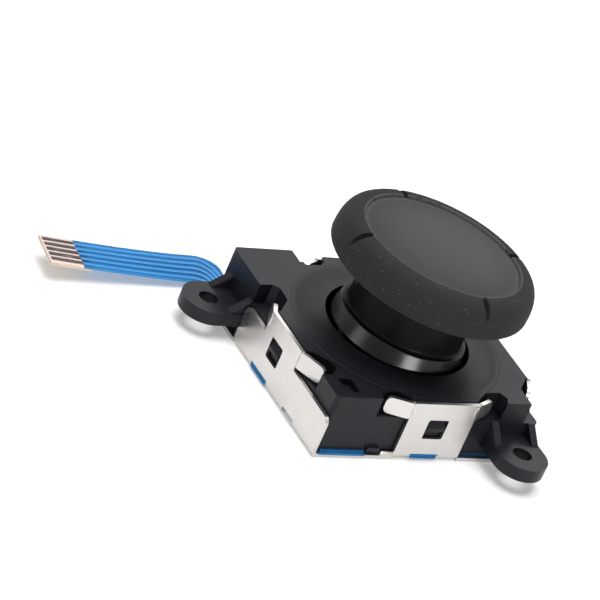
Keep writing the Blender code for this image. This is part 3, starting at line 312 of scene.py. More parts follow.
class Finish:
    """A material under construction, with its Principled shader."""

    def __init__(self, name, **uniform):
        self.material = bpy.data.materials.new(name)
        self.material.use_nodes = True
        self.tree = self.material.node_tree
        self.tree.nodes.clear()
        self.shader = self.node("ShaderNodeBsdfPrincipled", {}, uniform)
        self.output = self.node("ShaderNodeOutputMaterial", {}, {"Surface": self.out(self.shader)})

    def node(self, kind, settings, values):
        """A node of this kind: settings are its own properties, values go to its sockets."""
        node = self.tree.nodes.new(kind)
        for name, value in settings.items():
            setattr(node, name, value)
        for name, value in values.items():
            if isinstance(value, Wire):
                self.tree.links.new(value.socket, node.inputs[name])
            else:
                node.inputs[name].default_value = value
        return node

    def out(self, node, name=0):
        return Wire(self.tree, node.outputs[name])

    def place(self, scale=(1, 1, 1), turn=(0, 0, 0), move=(0, 0, 0)):
        """Object coordinates in metres, placed on the piece by a Mapping node."""
        plain = self.out(self.node("ShaderNodeTexCoord", {}, {}), "Object")
        values = {"Vector": plain, "Scale": scale, "Rotation": turn, "Location": move}
        return self.out(self.node("ShaderNodeMapping", {"vector_type": "POINT"}, values))

    def noise(self, grain, detail=2.0, rough=0.5, place=None):
        """Noise from 0 to 1 whose patches are about one grain across, in metres."""
        values = {"Vector": place or self.place(), "Scale": 1.0 / grain, "Detail": detail, "Roughness": rough}
        return self.out(self.node("ShaderNodeTexNoise", {"noise_dimensions": "3D"}, values))

    def specks(self, grain):
        """Distance from scattered points about one grain apart, in grains."""
        values = {"Vector": self.place(), "Scale": 1.0 / grain}
        return self.out(self.node("ShaderNodeTexVoronoi", {"feature": "F1"}, values), "Distance")

    def mixed(self, share, low, high):
        """A colour between two others."""
        node = self.node("ShaderNodeMix", {"data_type": "RGBA"}, {"Factor": share})
        for socket, colour in ((node.inputs[6], low), (node.inputs[7], high)):
            if isinstance(colour, Wire):
                self.tree.links.new(colour.socket, socket)
            else:
                socket.default_value = (*colour, 1.0)
        return Wire(self.tree, node.outputs[2])

    def parts(self, vector):
        """The three parts of a vector as wires."""
        node = self.node("ShaderNodeSeparateXYZ", {}, {"Vector": vector})
        return tuple(self.out(node, name) for name in "XYZ")

    def bump(self, height, depth):
        """Relief of this depth in metres where height runs from 0 to 1."""
        node = self.node("ShaderNodeBump", {}, {"Height": height, "Distance": depth, "Strength": 1.0})
        self.feed("Normal", self.out(node))

    def blend(self, kind, colour, share):
        """Gives this share of the surface to a second, plain shader."""
        second = self.node(kind, {}, {"Color": (*colour, 1.0)})
        mix = self.node("ShaderNodeMixShader", {}, {"Fac": share})
        self.tree.links.new(self.shader.outputs[0], mix.inputs[1])
        self.tree.links.new(second.outputs[0], mix.inputs[2])
        self.tree.links.new(mix.outputs[0], self.output.inputs["Surface"])

    def feed(self, name, wire):
        """Links a wire to one of the Principled shader's inputs."""
        self.tree.links.new(wire.socket, self.shader.inputs[name])


def shaded(colour, factor):
    return tuple(min(1.0, part * factor) for part in colour)


def upright_place(finish):
    """Coordinates of the upright stick, measured from the pivot."""
    move = (PIVOT_HEIGHT * math.sin(LEAN), 0, -PIVOT_HEIGHT * math.cos(LEAN))
    return finish.place(turn=(0, -LEAN, 0), move=move)


def case_finish(colours):
    """Glass-filled black moulding: fine spark texture, faint flow marks, slightly uneven gloss."""
    gloss = {"Specular IOR Level": 0.20, "Specular Tint": (0.96, 0.95, 1.0, 1.0)}
    finish = Finish("case_plastic", **gloss)
    flow = finish.noise(2.2 * MM, 3.0, 0.6, finish.place(scale=(1.0, 1.0, 2.5)))
    grain = finish.noise(0.055 * MM, 2.0, 0.6)
    finish.feed("Base Color", finish.mixed(flow, shaded(colours.case, 0.75), shaded(colours.case, 1.35)))
    finish.feed("Roughness", 0.27 + flow * 0.10 + grain * 0.08)
    finish.bump(grain * 0.7 + flow * 0.3, 2.0 * MICRON)
    return finish.material


def stem_finish(colours):
    """Polished black moulding with faint turning rings from handling, and a matt neck under the cap."""
    finish = Finish("stick_plastic", **{"Specular IOR Level": 0.30})
    cloud = finish.noise(1.6 * MM, 3.0, 0.55)
    rub = finish.noise(0.12 * MM, 2.0, 0.6, finish.place(scale=(0.35, 0.35, 3.0)))
    finish.feed("Base Color", finish.mixed(cloud, shaded(colours.stem, 0.8), shaded(colours.stem, 1.3)))
    finish.feed("Roughness", 0.19 + cloud * 0.08 + rub * 0.06)
    finish.bump(rub, 0.8 * MICRON)
    _, _, height = finish.parts(upright_place(finish))
    neck = height.step(COLLAR_CREASE - 0.05 * MM, COLLAR_CREASE + 0.10 * MM)
    finish.blend("ShaderNodeBsdfDiffuse", colours.stem, neck * 0.8)
    return finish.material


def rubber_finish(colours, sizes):
    """Soft black rubber: a smooth dish, a rough rim, a painted highlight along the crease's lip and a few
    pale specks of dust.
    """
    finish = Finish("cap_rubber", **{"Specular IOR Level": 0.28})
    across, along, _ = finish.parts(upright_place(finish))
    radius = (across * across + along * along) ** 0.5
    rim = radius.step(sizes.crease_radius - 0.06 * MM, sizes.crease_radius + 0.10 * MM)
    cloud = finish.noise(2.4 * MM, 3.0, 0.6)
    coarse = finish.noise(0.13 * MM, 3.0, 0.65)
    fine = finish.noise(0.045 * MM, 2.0, 0.6)
    dusty = finish.noise(1.1 * MM, 1.0).step(0.46, 0.58)
    dust = finish.specks(0.34 * MM).step(0.17, 0.06) * dusty * rim
    # Squared distance from the crease's lip
    beside = (radius - (sizes.crease_radius + 0.07 * MM)) ** 2
    # Painted highlight: a pale line in patches along the crease's lip, where the lip catches the light, not
    # wear
    wear_and_painted_highlight = beside.step((0.15 * MM) ** 2, (0.04 * MM) ** 2) * finish.noise(0.5 * MM, 2.0).step(0.25, 0.50)
    body = finish.mixed(cloud, shaded(colours.rubber, 0.85), shaded(colours.rubber, 1.25))
    # The pale mix joins the real dust specks and the painted highlight on the crease's lip
    pale = (dust * 0.65).largest(wear_and_painted_highlight * 0.34)
    finish.feed("Base Color", finish.mixed(pale, body, colours.dust))
    finish.feed("Roughness", 0.34 + rim * 0.50 + cloud * 0.08)
    finish.bump(fine * (1.0 - rim) * 0.25 + coarse * rim + dust * 0.5, 14.0 * MICRON)
    return finish.material


def steel_finish(name, colour, grain_turn=0.0):
    """Bright rolled sheet: long fine rolling lines, soft clouds in the gloss, a few scuffs."""
    finish = Finish(name, Metallic=1.0)
    rolling = finish.place(scale=(0.05, 0.05, 1.0), turn=(0, 0, grain_turn))
    rolled = finish.noise(0.05 * MM, 2.0, 0.6, rolling)
    cloud = finish.noise(1.9 * MM, 4.0, 0.6)
    scuffing = finish.place(scale=(0.25, 1.0, 1.0), turn=(0.4, 0.3, 0.9))
    marks = finish.noise(0.16 * MM, 3.0, 0.7, scuffing).step(0.62, 0.74)
    dull = cloud * 0.7 + marks * 0.3
    finish.feed("Base Color", finish.mixed(dull, shaded(colour, 1.06), shaded(colour, 0.86)))
    finish.feed("Roughness", 0.20 + cloud * 0.10 + rolled * 0.10 + marks * 0.12)
    finish.bump(rolled * 0.6 + cloud * 0.4, 2.4 * MICRON)
    return finish.material


def film_finish(colours, sizes):
    """Blue cover film, slightly mottled, that lets some light through; the bare film shows at its tip."""
    finish = Finish("film", **{"Specular IOR Level": 0.4})
    along, across, _ = finish.parts(finish.place())
    uneven = finish.noise(0.5 * MM, 1.0) * (0.10 * MM)
    # The cover ends a little over the contacts' roots, aslant with the tail's tip
    slant = (across - NARROW_FRONT) * (TIP_SKEW / NARROW_WIDTH)
    cover_end = CONTACT_ROOT - TIP_REACH - TIP_SKEW - BARE_SHORTER + COVER_LAP
    bare = (along + uneven - slant).step(cover_end + 0.06 * MM, cover_end - 0.02 * MM)
    mottle = finish.noise(0.9 * MM, 4.0, 0.6)
    press = finish.noise(0.07 * MM, 2.0, 0.5)
    blue = finish.mixed(mottle, shaded(colours.film, 0.92), shaded(colours.film, 1.08))
    # Out on the tail the film is lighter along its front and back edges, the front one more
    front_edge = across.step(NARROW_FRONT + 0.26 * MM, NARROW_FRONT + 0.10 * MM)
    back_edge = across.step(NARROW_BACK - 0.22 * MM, NARROW_BACK - 0.08 * MM)
    on_tail = along.step(CASE_LEFT - 0.4 * MM, CASE_LEFT - 1.6 * MM)
    edges = (front_edge + back_edge * 0.7) * on_tail
    clear = tuple(part**PALER_EDGE_TINT for part in colours.film)
    cover = finish.mixed(edges * 0.7, blue, clear)
    finish.feed("Base Color", finish.mixed(bare, cover, colours.base_film))
    finish.feed("Roughness", 0.34 + mottle * 0.12 + press * 0.06)
    # Light passes two faces of the sheet, so each one tints it by a little less than the square root
    thin = tuple(part**THIN_TINT for part in colours.film)
    finish.blend("ShaderNodeBsdfTranslucent", thin, (1.0 - bare) * sizes.film_glow)
    finish.bump(press * 0.5 + mottle * 0.5, 4.0 * MICRON)
    return finish.material


def runner_finish(colours):
    """A printed runner seen through the blue cover, with faint streaks along it."""
    finish = Finish("runner", **{"Specular IOR Level": 0.4})
    streak = finish.noise(0.3 * MM, 3.0, 0.6, finish.place(scale=(0.2, 1.0, 1.0)))
    finish.feed("Base Color", finish.mixed(streak, shaded(colours.runner, 0.92), shaded(colours.runner, 1.1)))
    finish.feed("Roughness", 0.34 + streak * 0.12)
    finish.bump(streak, 2.0 * MICRON)
    return finish.material


def printed_finish(name, colour, wear_and_painted_highlight, wear_share):
    """Screen-printed ink: a matt grain with lengthwise wear from its plug or wiper."""
    finish = Finish(name, **{"Specular IOR Level": 0.4})
    grain = finish.noise(0.04 * MM, 3.0, 0.7)
    wear = finish.noise(0.10 * MM, 3.0, 0.6, finish.place(scale=(0.08, 1.0, 1.0))).step(0.56, 0.70)
    finish.feed("Base Color", finish.mixed(wear * wear_share, colour, wear_and_painted_highlight))
    finish.feed("Roughness", 0.55 + grain * 0.2 - wear * 0.2)
    finish.bump(grain, 3.0 * MICRON)
    return finish.material


def moulded_finish(name, colour):
    """Acetal moulding: waxy, with a faint cloud and the tool's fine lines. Its dark grey is painted shade for
    the parts seen in the gap under the collar.
    """
    finish = Finish(name, **{"Specular IOR Level": 0.4})
    cloud = finish.noise(1.2 * MM, 3.0, 0.6)
    lines = finish.noise(0.06 * MM, 2.0, 0.5, finish.place(scale=(0.2, 1.0, 1.0)))
    finish.feed("Base Color", finish.mixed(cloud, shaded(colour, 0.93), shaded(colour, 1.03)))
    finish.feed("Roughness", 0.38 + lines * 0.14)
    finish.bump(lines, 2.0 * MICRON)
    return finish.material


def stiffener_finish(colours):
    """Amber plate with the weave of its glass cloth just visible."""
    finish = Finish("stiffener", **{"Specular IOR Level": 0.5})
    warp = finish.noise(0.12 * MM, 1.0, 0.5, finish.place(scale=(0.1, 1.0, 1.0)))
    weft = finish.noise(0.12 * MM, 1.0, 0.5, finish.place(scale=(1.0, 0.1, 1.0)))
    weave = warp * 0.5 + weft * 0.5
    tint = finish.mixed(weave, shaded(colours.stiffener, 0.8), shaded(colours.stiffener, 1.2))
    finish.feed("Base Color", tint)
    finish.feed("Roughness", 0.35 + weave * 0.2)
    finish.bump(weave, 4.0 * MICRON)
    return finish.material


FINISHES = {}


def make_finishes(colours, sizes):
    along_wire = math.radians(90.0)
    FINISHES.update(
        case_plastic=case_finish(colours),
        stick_plastic=stem_finish(colours),
        cap_rubber=rubber_finish(colours, sizes),
        # The inner mouldings' dark grey is painted shade for the gap under the collar
        slider_plastic=moulded_finish("slider_plastic", colours.slider),
        steel=steel_finish("steel", colours.steel),
        spring_steel=steel_finish("spring_steel", colours.spring, along_wire),
        bronze=steel_finish("bronze", colours.bronze),
        film=film_finish(colours, sizes),
        stiffener=stiffener_finish(colours),
        contact=printed_finish("contact", colours.contact, (0.42, 0.36, 0.31), 0.7),
        carbon=printed_finish("carbon", colours.carbon, (0.05, 0.05, 0.05), 0.5),
        runner=runner_finish(colours),
    )


# Mesh building


def lean_point(point):
    """Where a point of the upright stick, measured from the pivot, stands at rest."""
    return Matrix.Rotation(LEAN, 3, "Y") @ Vector(point) + Vector((0, 0, PIVOT_HEIGHT))


def new_piece(name, mesh, body, slot, *nodes):
    """Links a finished mesh at the origin, gives it its finish and ties it to its body."""
    piece = bpy.data.objects.new(name, mesh)
    bpy.context.scene.collection.objects.link(piece)
    mesh.materials.clear()
    mesh.materials.append(FINISHES[slot])
    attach(piece, body)
    if nodes:
        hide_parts(*nodes)
    return piece


def made_mesh(name, bm):
    """A mesh with the bmesh's shape. The bmesh is used up."""
    mesh = bpy.data.meshes.new(name)
    bm.to_mesh(mesh)
    bm.free()
    return mesh


def merged_mesh(node):
    """A CAD node's loose triangles, merged into flat faces."""
    bm = bmesh.new()
    bm.from_mesh(frame["nodes"][node].data)
    bmesh.ops.remove_doubles(bm, verts=bm.verts, dist=4 * MICRON)
    bmesh.ops.dissolve_limit(bm, angle_limit=math.radians(0.6), verts=bm.verts, edges=bm.edges)
    return made_mesh(node, bm)


def applied(mesh, change):
    """The mesh after the modifiers that change adds to an object that holds it."""
    holder = bpy.data.objects.new("holder", mesh)
    bpy.context.scene.collection.objects.link(holder)
    change(holder)
    graph = bpy.context.evaluated_depsgraph_get()
    result = bpy.data.meshes.new_from_object(holder.evaluated_get(graph), depsgraph=graph)
    bpy.data.objects.remove(holder)
    return result


def smooth_faces(mesh, degrees):
    mesh.shade_smooth()
    mesh.set_sharp_from_angle(angle=math.radians(degrees))


def rounded(mesh, width, segments=2):
    """The mesh with its sharp edges rounded, and its flat faces kept flat to the eye."""

    def change(holder):
        bevel = holder.modifiers.new("edge", "BEVEL")
        bevel.limit_method = "ANGLE"
        bevel.angle_limit = math.radians(ROUNDED_ANGLE)
        bevel.width = width
        bevel.segments = segments
        bevel.use_clamp_overlap = True
        bevel.loop_slide = True
        bevel.miter_outer = "MITER_ARC"
        weighted = holder.modifiers.new("flat", "WEIGHTED_NORMAL")
        weighted.keep_sharp = True
        weighted.weight = 60

    smooth_faces(mesh, 40.0)
    return applied(mesh, change)


def dress_node(node, width, segments=2, change=None):
    """A CAD node's shape with moulded or stamped edges, standing for the node."""
    slot = node_slot(node)
    mesh = merged_mesh(node)
    if change:
        change(mesh)
    mesh = rounded(mesh, width, segments)
    piece = new_piece(f"{node}_finished", mesh, BODY_OF[node], slot, node)
    return piece


def node_slot(node):
    return frame["nodes"][node].data.materials[0].name.split(".")[0]


def turned_mesh(name, profile, angles):
    """A closed surface turned about Z from a profile of (radius, height) whose ends lie on the axis."""
    bm = bmesh.new()
    rings = []
    for radius, height in profile:
        if radius == 0:
            rings.append([bm.verts.new((0, 0, height))])
        else:
            rings.append([bm.verts.new((radius * math.cos(a), radius * math.sin(a), height)) for a in angles])
    count = len(angles)
    for lower, upper in zip(rings, rings[1:]):
        for i in range(count):
            j = (i + 1) % count
            # At the axis a ring is one point, so two corners are the same
            around = ((lower, i), (lower, j), (upper, j), (upper, i))
            corners = [ring[place % len(ring)] for ring, place in around]
            bm.faces.new(list(dict.fromkeys(corners)))
    bmesh.ops.recalc_face_normals(bm, faces=bm.faces)
    return made_mesh(name, bm)


def smooth_share(value, low, high):
    share = min(1.0, max(0.0, (value - low) / (high - low)))
    return share * share * (3 - 2 * share)


def cap_profile(sizes):
    """The cap's outline from the middle of the dish over the rim to the socket's roof, from the pivot."""
    rim = sizes.cap_low + sizes.cap_thickness - PIVOT_HEIGHT
    low = sizes.cap_low - PIVOT_HEIGHT
    middle = low + (rim - low) * WIDEST_SHARE
    crease = sizes.crease_radius
    step_low = rim - sizes.crease_step
    points = []
    for i in range(DISH_STEPS + 1):
        share = i / DISH_STEPS
        height = step_low - (sizes.dish_depth - sizes.crease_step) * (1 - share**DISH_POWER)
        points.append(((crease - CREASE_FOOT) * share, height))
    points += [
        (crease - 0.03 * MM, step_low - 0.02 * MM),
        (crease, step_low + 0.02 * MM),
        (crease + 0.02 * MM, rim - 0.05 * MM),
        (crease + 0.05 * MM, rim - 0.015 * MM),
        (crease + CREASE_LIP, rim),
    ]
    start = crease + CREASE_LIP
    for i in range(1, RIM_STEPS + 1):
        angle = math.radians(90 * (1 - i / RIM_STEPS))
        radius = start + (sizes.cap_radius - start) * math.cos(angle) ** RIM_FULLNESS
        points.append((radius, middle + (rim - middle) * math.sin(angle) ** RIM_FULLNESS))
    under = NECK_RADIUS + 0.4 * MM
    for i in range(1, UNDER_STEPS + 1):
        angle = math.radians(90 * i / UNDER_STEPS)
        radius = under + (sizes.cap_radius - under) * math.cos(angle)
        points.append((radius, middle - (middle - low) * math.sin(angle)))
    roof = low + sizes.cap_thickness / 2 + SEAT_GAP
    socket = SOCKET_RADIUS + SEAT_GAP
    points += [
        (socket + 0.06 * MM, low),
        (socket, low + 0.06 * MM),
        (socket, roof - 0.05 * MM),
        (socket - 0.05 * MM, roof),
        (0, roof),
    ]
    return points


def cap_mesh(sizes):
    """The rubber cap with its crease and four rim notches, leaning as it rests."""
    half = sizes.notch_width / 2 / (sizes.crease_radius + NOTCH_REACH / 2)
    reach = 2 * math.pi / NOTCH_COUNT
    angles = []
    for number in range(NOTCH_COUNT):
        start = 2 * math.pi * number / NOTCH_COUNT
        angles += [start + half * offset for offset in NOTCH_STATIONS]
        first, last = start + half * NOTCH_STATIONS[-1], start + reach - half * NOTCH_STATIONS[-1]
        angles += [first + (last - first) * i / NOTCH_STEPS for i in range(1, NOTCH_STEPS)]
    mesh = turned_mesh("thumb_cap_finished", cap_profile(sizes), sorted(angles))
    rim = sizes.cap_low + sizes.cap_thickness - PIVOT_HEIGHT
    for vertex in mesh.vertices:
        x, y, z = vertex.co
        radius = math.hypot(x, y)
        if radius > sizes.crease_radius - 0.01 * MM and z > rim - sizes.cap_thickness / 2:
            turn = math.atan2(y, x) % reach
            offset = min(turn, reach - turn) / half
            across = 1 - smooth_share(offset, 0.8, 1.2)
            notch_end = sizes.crease_radius + NOTCH_REACH
            along = 1 - smooth_share(radius, sizes.crease_radius + NOTCH_REACH * 0.72, notch_end)
            vertex.co.z = z - sizes.notch_depth * across * along
        vertex.co = lean_point(vertex.co)
    smooth_faces(mesh, 38.0)
    return mesh


# The tail's printed lines


def tail_height(x):
    """How far the tail has curled up at a place along X."""
    share = max(0.0, (CASE_LEFT - x) / (CASE_LEFT - TAIL_TIP))
    return TAIL_LIFT * share**TAIL_CURL


def tail_point(point):
    """Where a point of the CAD's tail stands in the finished film, which is narrower and arches a little."""
    x, y, z = point
    if y > TAIL_FRONT:
        new_y = NARROW_FRONT + (y - TAIL_FRONT) * NARROW_WIDTH / TAIL_WIDTH
    else:
        new_y = y + (NARROW_FRONT - TAIL_FRONT) * smooth_share(y, NECK_START, TAIL_FRONT)
    out = min(1.0, max(0.0, (CASE_LEFT - x) / (CASE_LEFT - TAIL_TIP)))
    arch = TAIL_ARCH * smooth_share(new_y, NECK_START, NARROW_FRONT + NARROW_WIDTH / 2) * (1 - out / 2)
    front_share = 1 - (new_y - NARROW_FRONT) / NARROW_WIDTH
    bare_share = min(1.0, (x - TAIL_TIP) / (CONTACT_ROOT - TAIL_TIP))
    longer = (TIP_REACH + TIP_SKEW * front_share + BARE_SHORTER * bare_share) * out**2
    return Vector((x - longer, new_y, z + arch))


def drawn_tail(mesh):
    """Brings the film or its stiffener to the finished tail, with the flaps' low points lifted."""
    for vertex in mesh.vertices:
        if vertex.co.z < FLAP_LOW:
            vertex.co.z = FLAP_LOW
        vertex.co = tail_point(vertex.co)


def drawn_contact(mesh):
    """Brings a contact to its place on the finished tail, a little broader and up to the tail's end."""
    middle = sum(vertex.co.y for vertex in mesh.vertices) / len(mesh.vertices)
    start = min(vertex.co.x for vertex in mesh.vertices)
    for vertex in mesh.vertices:
        x, y, z = vertex.co
        if x < start + CONTACT_LENGTH / 2:
            z += tail_height(TAIL_TIP + TIP_MARGIN) - tail_height(x)
            x = TAIL_TIP + TIP_MARGIN
        vertex.co = tail_point((x, middle + (y - middle) * CONTACT_BROADER, z))


def runner_guides():
    """The middle lines of the printed runners, from the contacts round the bend to the case."""
    bm = bmesh.new()
    for number in range(CONTACT_COUNT):
        place = number - (CONTACT_COUNT - 1) / 2
        y = TAIL_FRONT + TAIL_WIDTH / 2 + place * CONTACT_PITCH
        x = NECK_MIDDLE + place * NECK_PITCH
        line = [(CONTACT_ROOT + (x - BEND_REACH - CONTACT_ROOT) * i / 20, y) for i in range(21)]
        bend = [Vector((x - BEND_REACH, y)), Vector((x, y)), Vector((x, BEND_END))]
        for i in range(1, 13):
            t = i / 12
            line.append(tuple((1 - t) ** 2 * bend[0] + 2 * t * (1 - t) * bend[1] + t * t * bend[2]))
        line.append((x, RUNNER_END))
        vertices = [bm.verts.new(tail_point((px, py, FILM_TOP + tail_height(px)))) for px, py in line]
        for start, end in zip(vertices, vertices[1:]):
            bm.edges.new((start, end))
    return made_mesh("runner_guides", bm)


# Geometry trees


def node_group(name, inputs):
    """An empty geometry tree with a mesh input, a mesh output and these named number inputs."""
    tree = bpy.data.node_groups.new(name, "GeometryNodeTree")
    tree.interface.new_socket("Geometry", in_out="INPUT", socket_type="NodeSocketGeometry")
    for label, default in inputs.items():
        socket = tree.interface.new_socket(label, in_out="INPUT", socket_type="NodeSocketFloat")
        socket.default_value = default
    tree.interface.new_socket("Geometry", in_out="OUTPUT", socket_type="NodeSocketGeometry")
    return tree


def geometry_node(tree, kind, settings, values):
    """A geometry node; values are numbers, or (node, output name) pairs to link from."""
    node = tree.nodes.new(kind)
    for name, value in settings.items():
        setattr(node, name, value)
    for name, value in values.items():
        if isinstance(value, tuple) and isinstance(value[0], bpy.types.Node):
            tree.links.new(value[0].outputs[value[1]], node.inputs[name])
        else:
            node.inputs[name].default_value = value
    return node


def grown_mesh(mesh, tree, values):
    """The mesh that a geometry tree makes from a starting mesh, with its named inputs set."""

    def change(holder):
        modifier = holder.modifiers.new("grow", "NODES")
        modifier.node_group = tree
        for item in tree.interface.items_tree:
            if item.item_type == "SOCKET" and item.in_out == "INPUT" and item.name in values:
                modifier[item.identifier] = values[item.name]

    return applied(mesh, change)


def close_tree(tree, path, section, material):
    """Sweeps the section along the path and ends the tree in Realize Instances and Set Material."""
    values = {"Curve": (path, "Curve"), "Profile Curve": (section, "Curve"), "Fill Caps": True}
    swept = geometry_node(tree, "GeometryNodeCurveToMesh", {}, values)
    real = geometry_node(tree, "GeometryNodeRealizeInstances", {}, {"Geometry": (swept, "Mesh")})
    values = {"Geometry": (real, "Geometry"), "Material": material}
    painted = geometry_node(tree, "GeometryNodeSetMaterial", {}, values)
    end = tree.nodes.new("NodeGroupOutput")
    tree.links.new(painted.outputs["Geometry"], end.inputs["Geometry"])


def runner_tree():
    """Sweeps a flat strip along every guide line."""
    tree = node_group("printed_runners", {"Width": 0.3 * MM, "Height": 0.02 * MM})
    start = tree.nodes.new("NodeGroupInput")
    curve = geometry_node(tree, "GeometryNodeMeshToCurve", {}, {"Mesh": (start, "Geometry")})
    level = geometry_node(tree, "GeometryNodeSetCurveNormal", {"mode": "Z_UP"}, {"Curve": (curve, "Curve")})
    strip = geometry_node(
        tree,
        "GeometryNodeCurvePrimitiveQuadrilateral",
        {"mode": "RECTANGLE"},
        {"Width": (start, "Width"), "Height": (start, "Height")},
    )
    close_tree(tree, level, strip, FINISHES["runner"])
    return tree


def spring_tree():
    """Winds round wire into a coil about Z, starting at the origin."""
    inputs = {"Turns": 3.0, "Radius": SPRING_RADIUS, "Height": 2.0 * MM, "Wire": SPRING_WIRE}
    tree = node_group("wound_spring", inputs)
    start = tree.nodes.new("NodeGroupInput")
    coil = geometry_node(
        tree,
        "GeometryNodeCurveSpiral",
        {},
        {
            "Resolution": 48,
            "Rotations": (start, "Turns"),
            "Start Radius": (start, "Radius"),
            "End Radius": (start, "Radius"),
            "Height": (start, "Height"),
        },
    )
    wire = geometry_node(
        tree,
        "GeometryNodeCurvePrimitiveCircle",
        {"mode": "RADIUS"},
        {"Resolution": 12, "Radius": (start, "Wire")},
    )
    close_tree(tree, coil, wire, FINISHES["spring_steel"])
    return tree


# Trims


def block_piece(name, low, high, edge, body, slot):
    """A small block with rounded edges between two corners."""
    bm = bmesh.new()
    bmesh.ops.create_cube(bm, size=1.0)
    for vertex in bm.verts:
        vertex.co = Vector([a + (part + 0.5) * (b - a) for a, b, part in zip(low, high, vertex.co)])
    mesh = made_mesh(name, bm)
    new_piece(name, rounded(mesh, edge), body, slot)


def foot_arcs(sizes):
    """A fine half-round bead round the dome's foot, left out where the case is cut away under it."""
    case = frame["nodes"]["housing"].data
    points = [vertex.co for vertex in case.vertices]
    tree = BVHTree.FromPolygons(points, [face.vertices for face in case.polygons])
    down = Vector((0, 0, -1))

    def on_case(out, aside):
        """Whether the case reaches its full height under a place beside the dome's foot."""
        found = tree.ray_cast(out * (DOME_RADIUS + aside) - down * PROBE_START, down)[0]
        return found is not None and found.z > CASE_TOP - BEAD_PROBE

    bm = bmesh.new()
    last = None
    for number in range(BEAD_STEPS + 1):
        angle = 2 * math.pi * number / BEAD_STEPS
        out = Vector((math.cos(angle), math.sin(angle), 0))
        ring = None
        if on_case(out, -BEAD_PROBE) and on_case(out, sizes.foot_width):
            ring = [
                bm.verts.new(
                    out * (DOME_RADIUS + across * sizes.foot_width)
                    + Vector((0, 0, CASE_TOP + up * sizes.foot_height))
                )
                for across, up in BEAD_SECTION
            ]
            if last is None:
                bm.faces.new(ring[::-1])
            else:
                for i, j in zip(range(len(ring)), [*range(1, len(ring)), 0]):
                    bm.faces.new((last[i], last[j], ring[j], ring[i]))
        if last is not None and ring is None:
            bm.faces.new(last)
        last = ring
    bmesh.ops.remove_doubles(bm, verts=bm.verts, dist=1 * MICRON)
    bmesh.ops.recalc_face_normals(bm, faces=bm.faces)
    mesh = made_mesh("dome_foot", bm)
    smooth_faces(mesh, 50.0)
    return mesh


def crisp_collar(mesh):
    """Draws the collar's chamfer into one straight band with a crisp crease, and fillets the neck's foot."""
    upright = Matrix.Rotation(-LEAN, 4, "Y") @ Matrix.Translation((0, 0, -PIVOT_HEIGHT))
    mesh.transform(upright)
    bm = bmesh.new()
    bm.from_mesh(mesh)
    foot = []
    for vertex in bm.verts:
        radius = math.hypot(vertex.co.x, vertex.co.y)
        height = vertex.co.z + PIVOT_HEIGHT
        for (old_radius, old_height), (new_radius, new_height) in COLLAR_MOVES.items():
            if max(abs(radius - old_radius), abs(height - old_height)) < RING_NEAR:
                vertex.co.x *= new_radius / radius
                vertex.co.y *= new_radius / radius
                vertex.co.z = new_height - PIVOT_HEIGHT
                if old_radius == NECK_RADIUS:
                    foot.append(vertex)
                break
    ring = [edge for edge in bm.edges if edge.verts[0] in foot and edge.verts[1] in foot]
    bmesh.ops.bevel(bm, geom=ring, offset=NECK_FILLET, segments=4, profile=0.5, affect="EDGES")
    bm.to_mesh(mesh)
    bm.free()
    mesh.transform(upright.inverted())


def spring_ends():
    """The heights of the coil's first and last wire middle above the pivot, from its CAD solid."""
    back = Matrix.Rotation(-LEAN, 3, "Y")
    pivot = Vector((0, 0, PIVOT_HEIGHT))
    heights = [(back @ (vertex.co - pivot)).z for vertex in frame["nodes"]["return_spring"].data.vertices]
    return min(heights) + SPRING_WIRE, max(heights) - SPRING_WIRE


# Stage


def area_light(name, place, target, size, power):
    """A white rectangular lamp that faces its target."""
    light = bpy.data.lights.new(name, "AREA")
    light.shape = "RECTANGLE"
    light.size, light.size_y = size
    light.energy = power
    lamp = bpy.data.objects.new(name, light)
    lamp.location = place
    lamp.rotation_euler = (Vector(target) - Vector(place)).to_track_quat("-Z", "Y").to_euler()
    bpy.context.scene.collection.objects.link(lamp)


def seen_directly(finish):
    """1 where the camera, a mirror image or a view through glass meets the surface, else 0."""
    path = finish.node("ShaderNodeLightPath", {}, {})
    rays = [finish.out(path, f"Is {kind} Ray") for kind in ("Camera", "Glossy", "Transmission")]
    total = rays[0] + rays[1] + rays[2]
    return total.joined("MINIMUM", total, 1.0)


def floor_finish(colours):
    """Pale matt floor that shows nearly white and keeps the object's shadow."""
    finish = Finish("floor", Roughness=0.9, **{"Specular IOR Level": 0.1})
    haze = finish.noise(40 * MM, 2.0)
    finish.feed("Base Color", finish.mixed(haze, shaded(colours.floor, 0.99), shaded(colours.floor, 1.01)))
    finish.blend("ShaderNodeEmission", (1, 1, 1), seen_directly(finish) * FLOOR_WHITE)
    return finish.material


def set_world():
    """A soft grey surround that is white to the eye and darker towards the horizon in a mirror image."""
    world = bpy.data.worlds.new("studio")
    bpy.context.scene.world = world
    world.use_nodes = True
    tree = world.node_tree
    tree.nodes.clear()
    path = tree.nodes.new("ShaderNodeLightPath")
    rays = [Wire(tree, path.outputs[f"Is {kind} Ray"]) for kind in ("Camera", "Glossy", "Transmission")]
    coordinates = tree.nodes.new("ShaderNodeTexCoord")
    parts = tree.nodes.new("ShaderNodeSeparateXYZ")
    tree.links.new(coordinates.outputs["Generated"], parts.inputs[0])
    height = Wire(tree, parts.outputs["Z"])
    mirrored = HORIZON_SHARE + (1 - HORIZON_SHARE) * height.step(*HORIZON_HEIGHTS)
    share = rays[0] + rays[2] + rays[1] * mirrored
    strength = SURROUND_LEVEL + share.joined("MINIMUM", share, 1.0) * (1 - SURROUND_LEVEL)
    background = tree.nodes.new("ShaderNodeBackground")
    background.inputs["Color"].default_value = (1, 1, 1, 1)
    tree.links.new(strength.socket, background.inputs["Strength"])
    output = tree.nodes.new("ShaderNodeOutputWorld")
    tree.links.new(background.outputs[0], output.inputs["Surface"])


# Operators


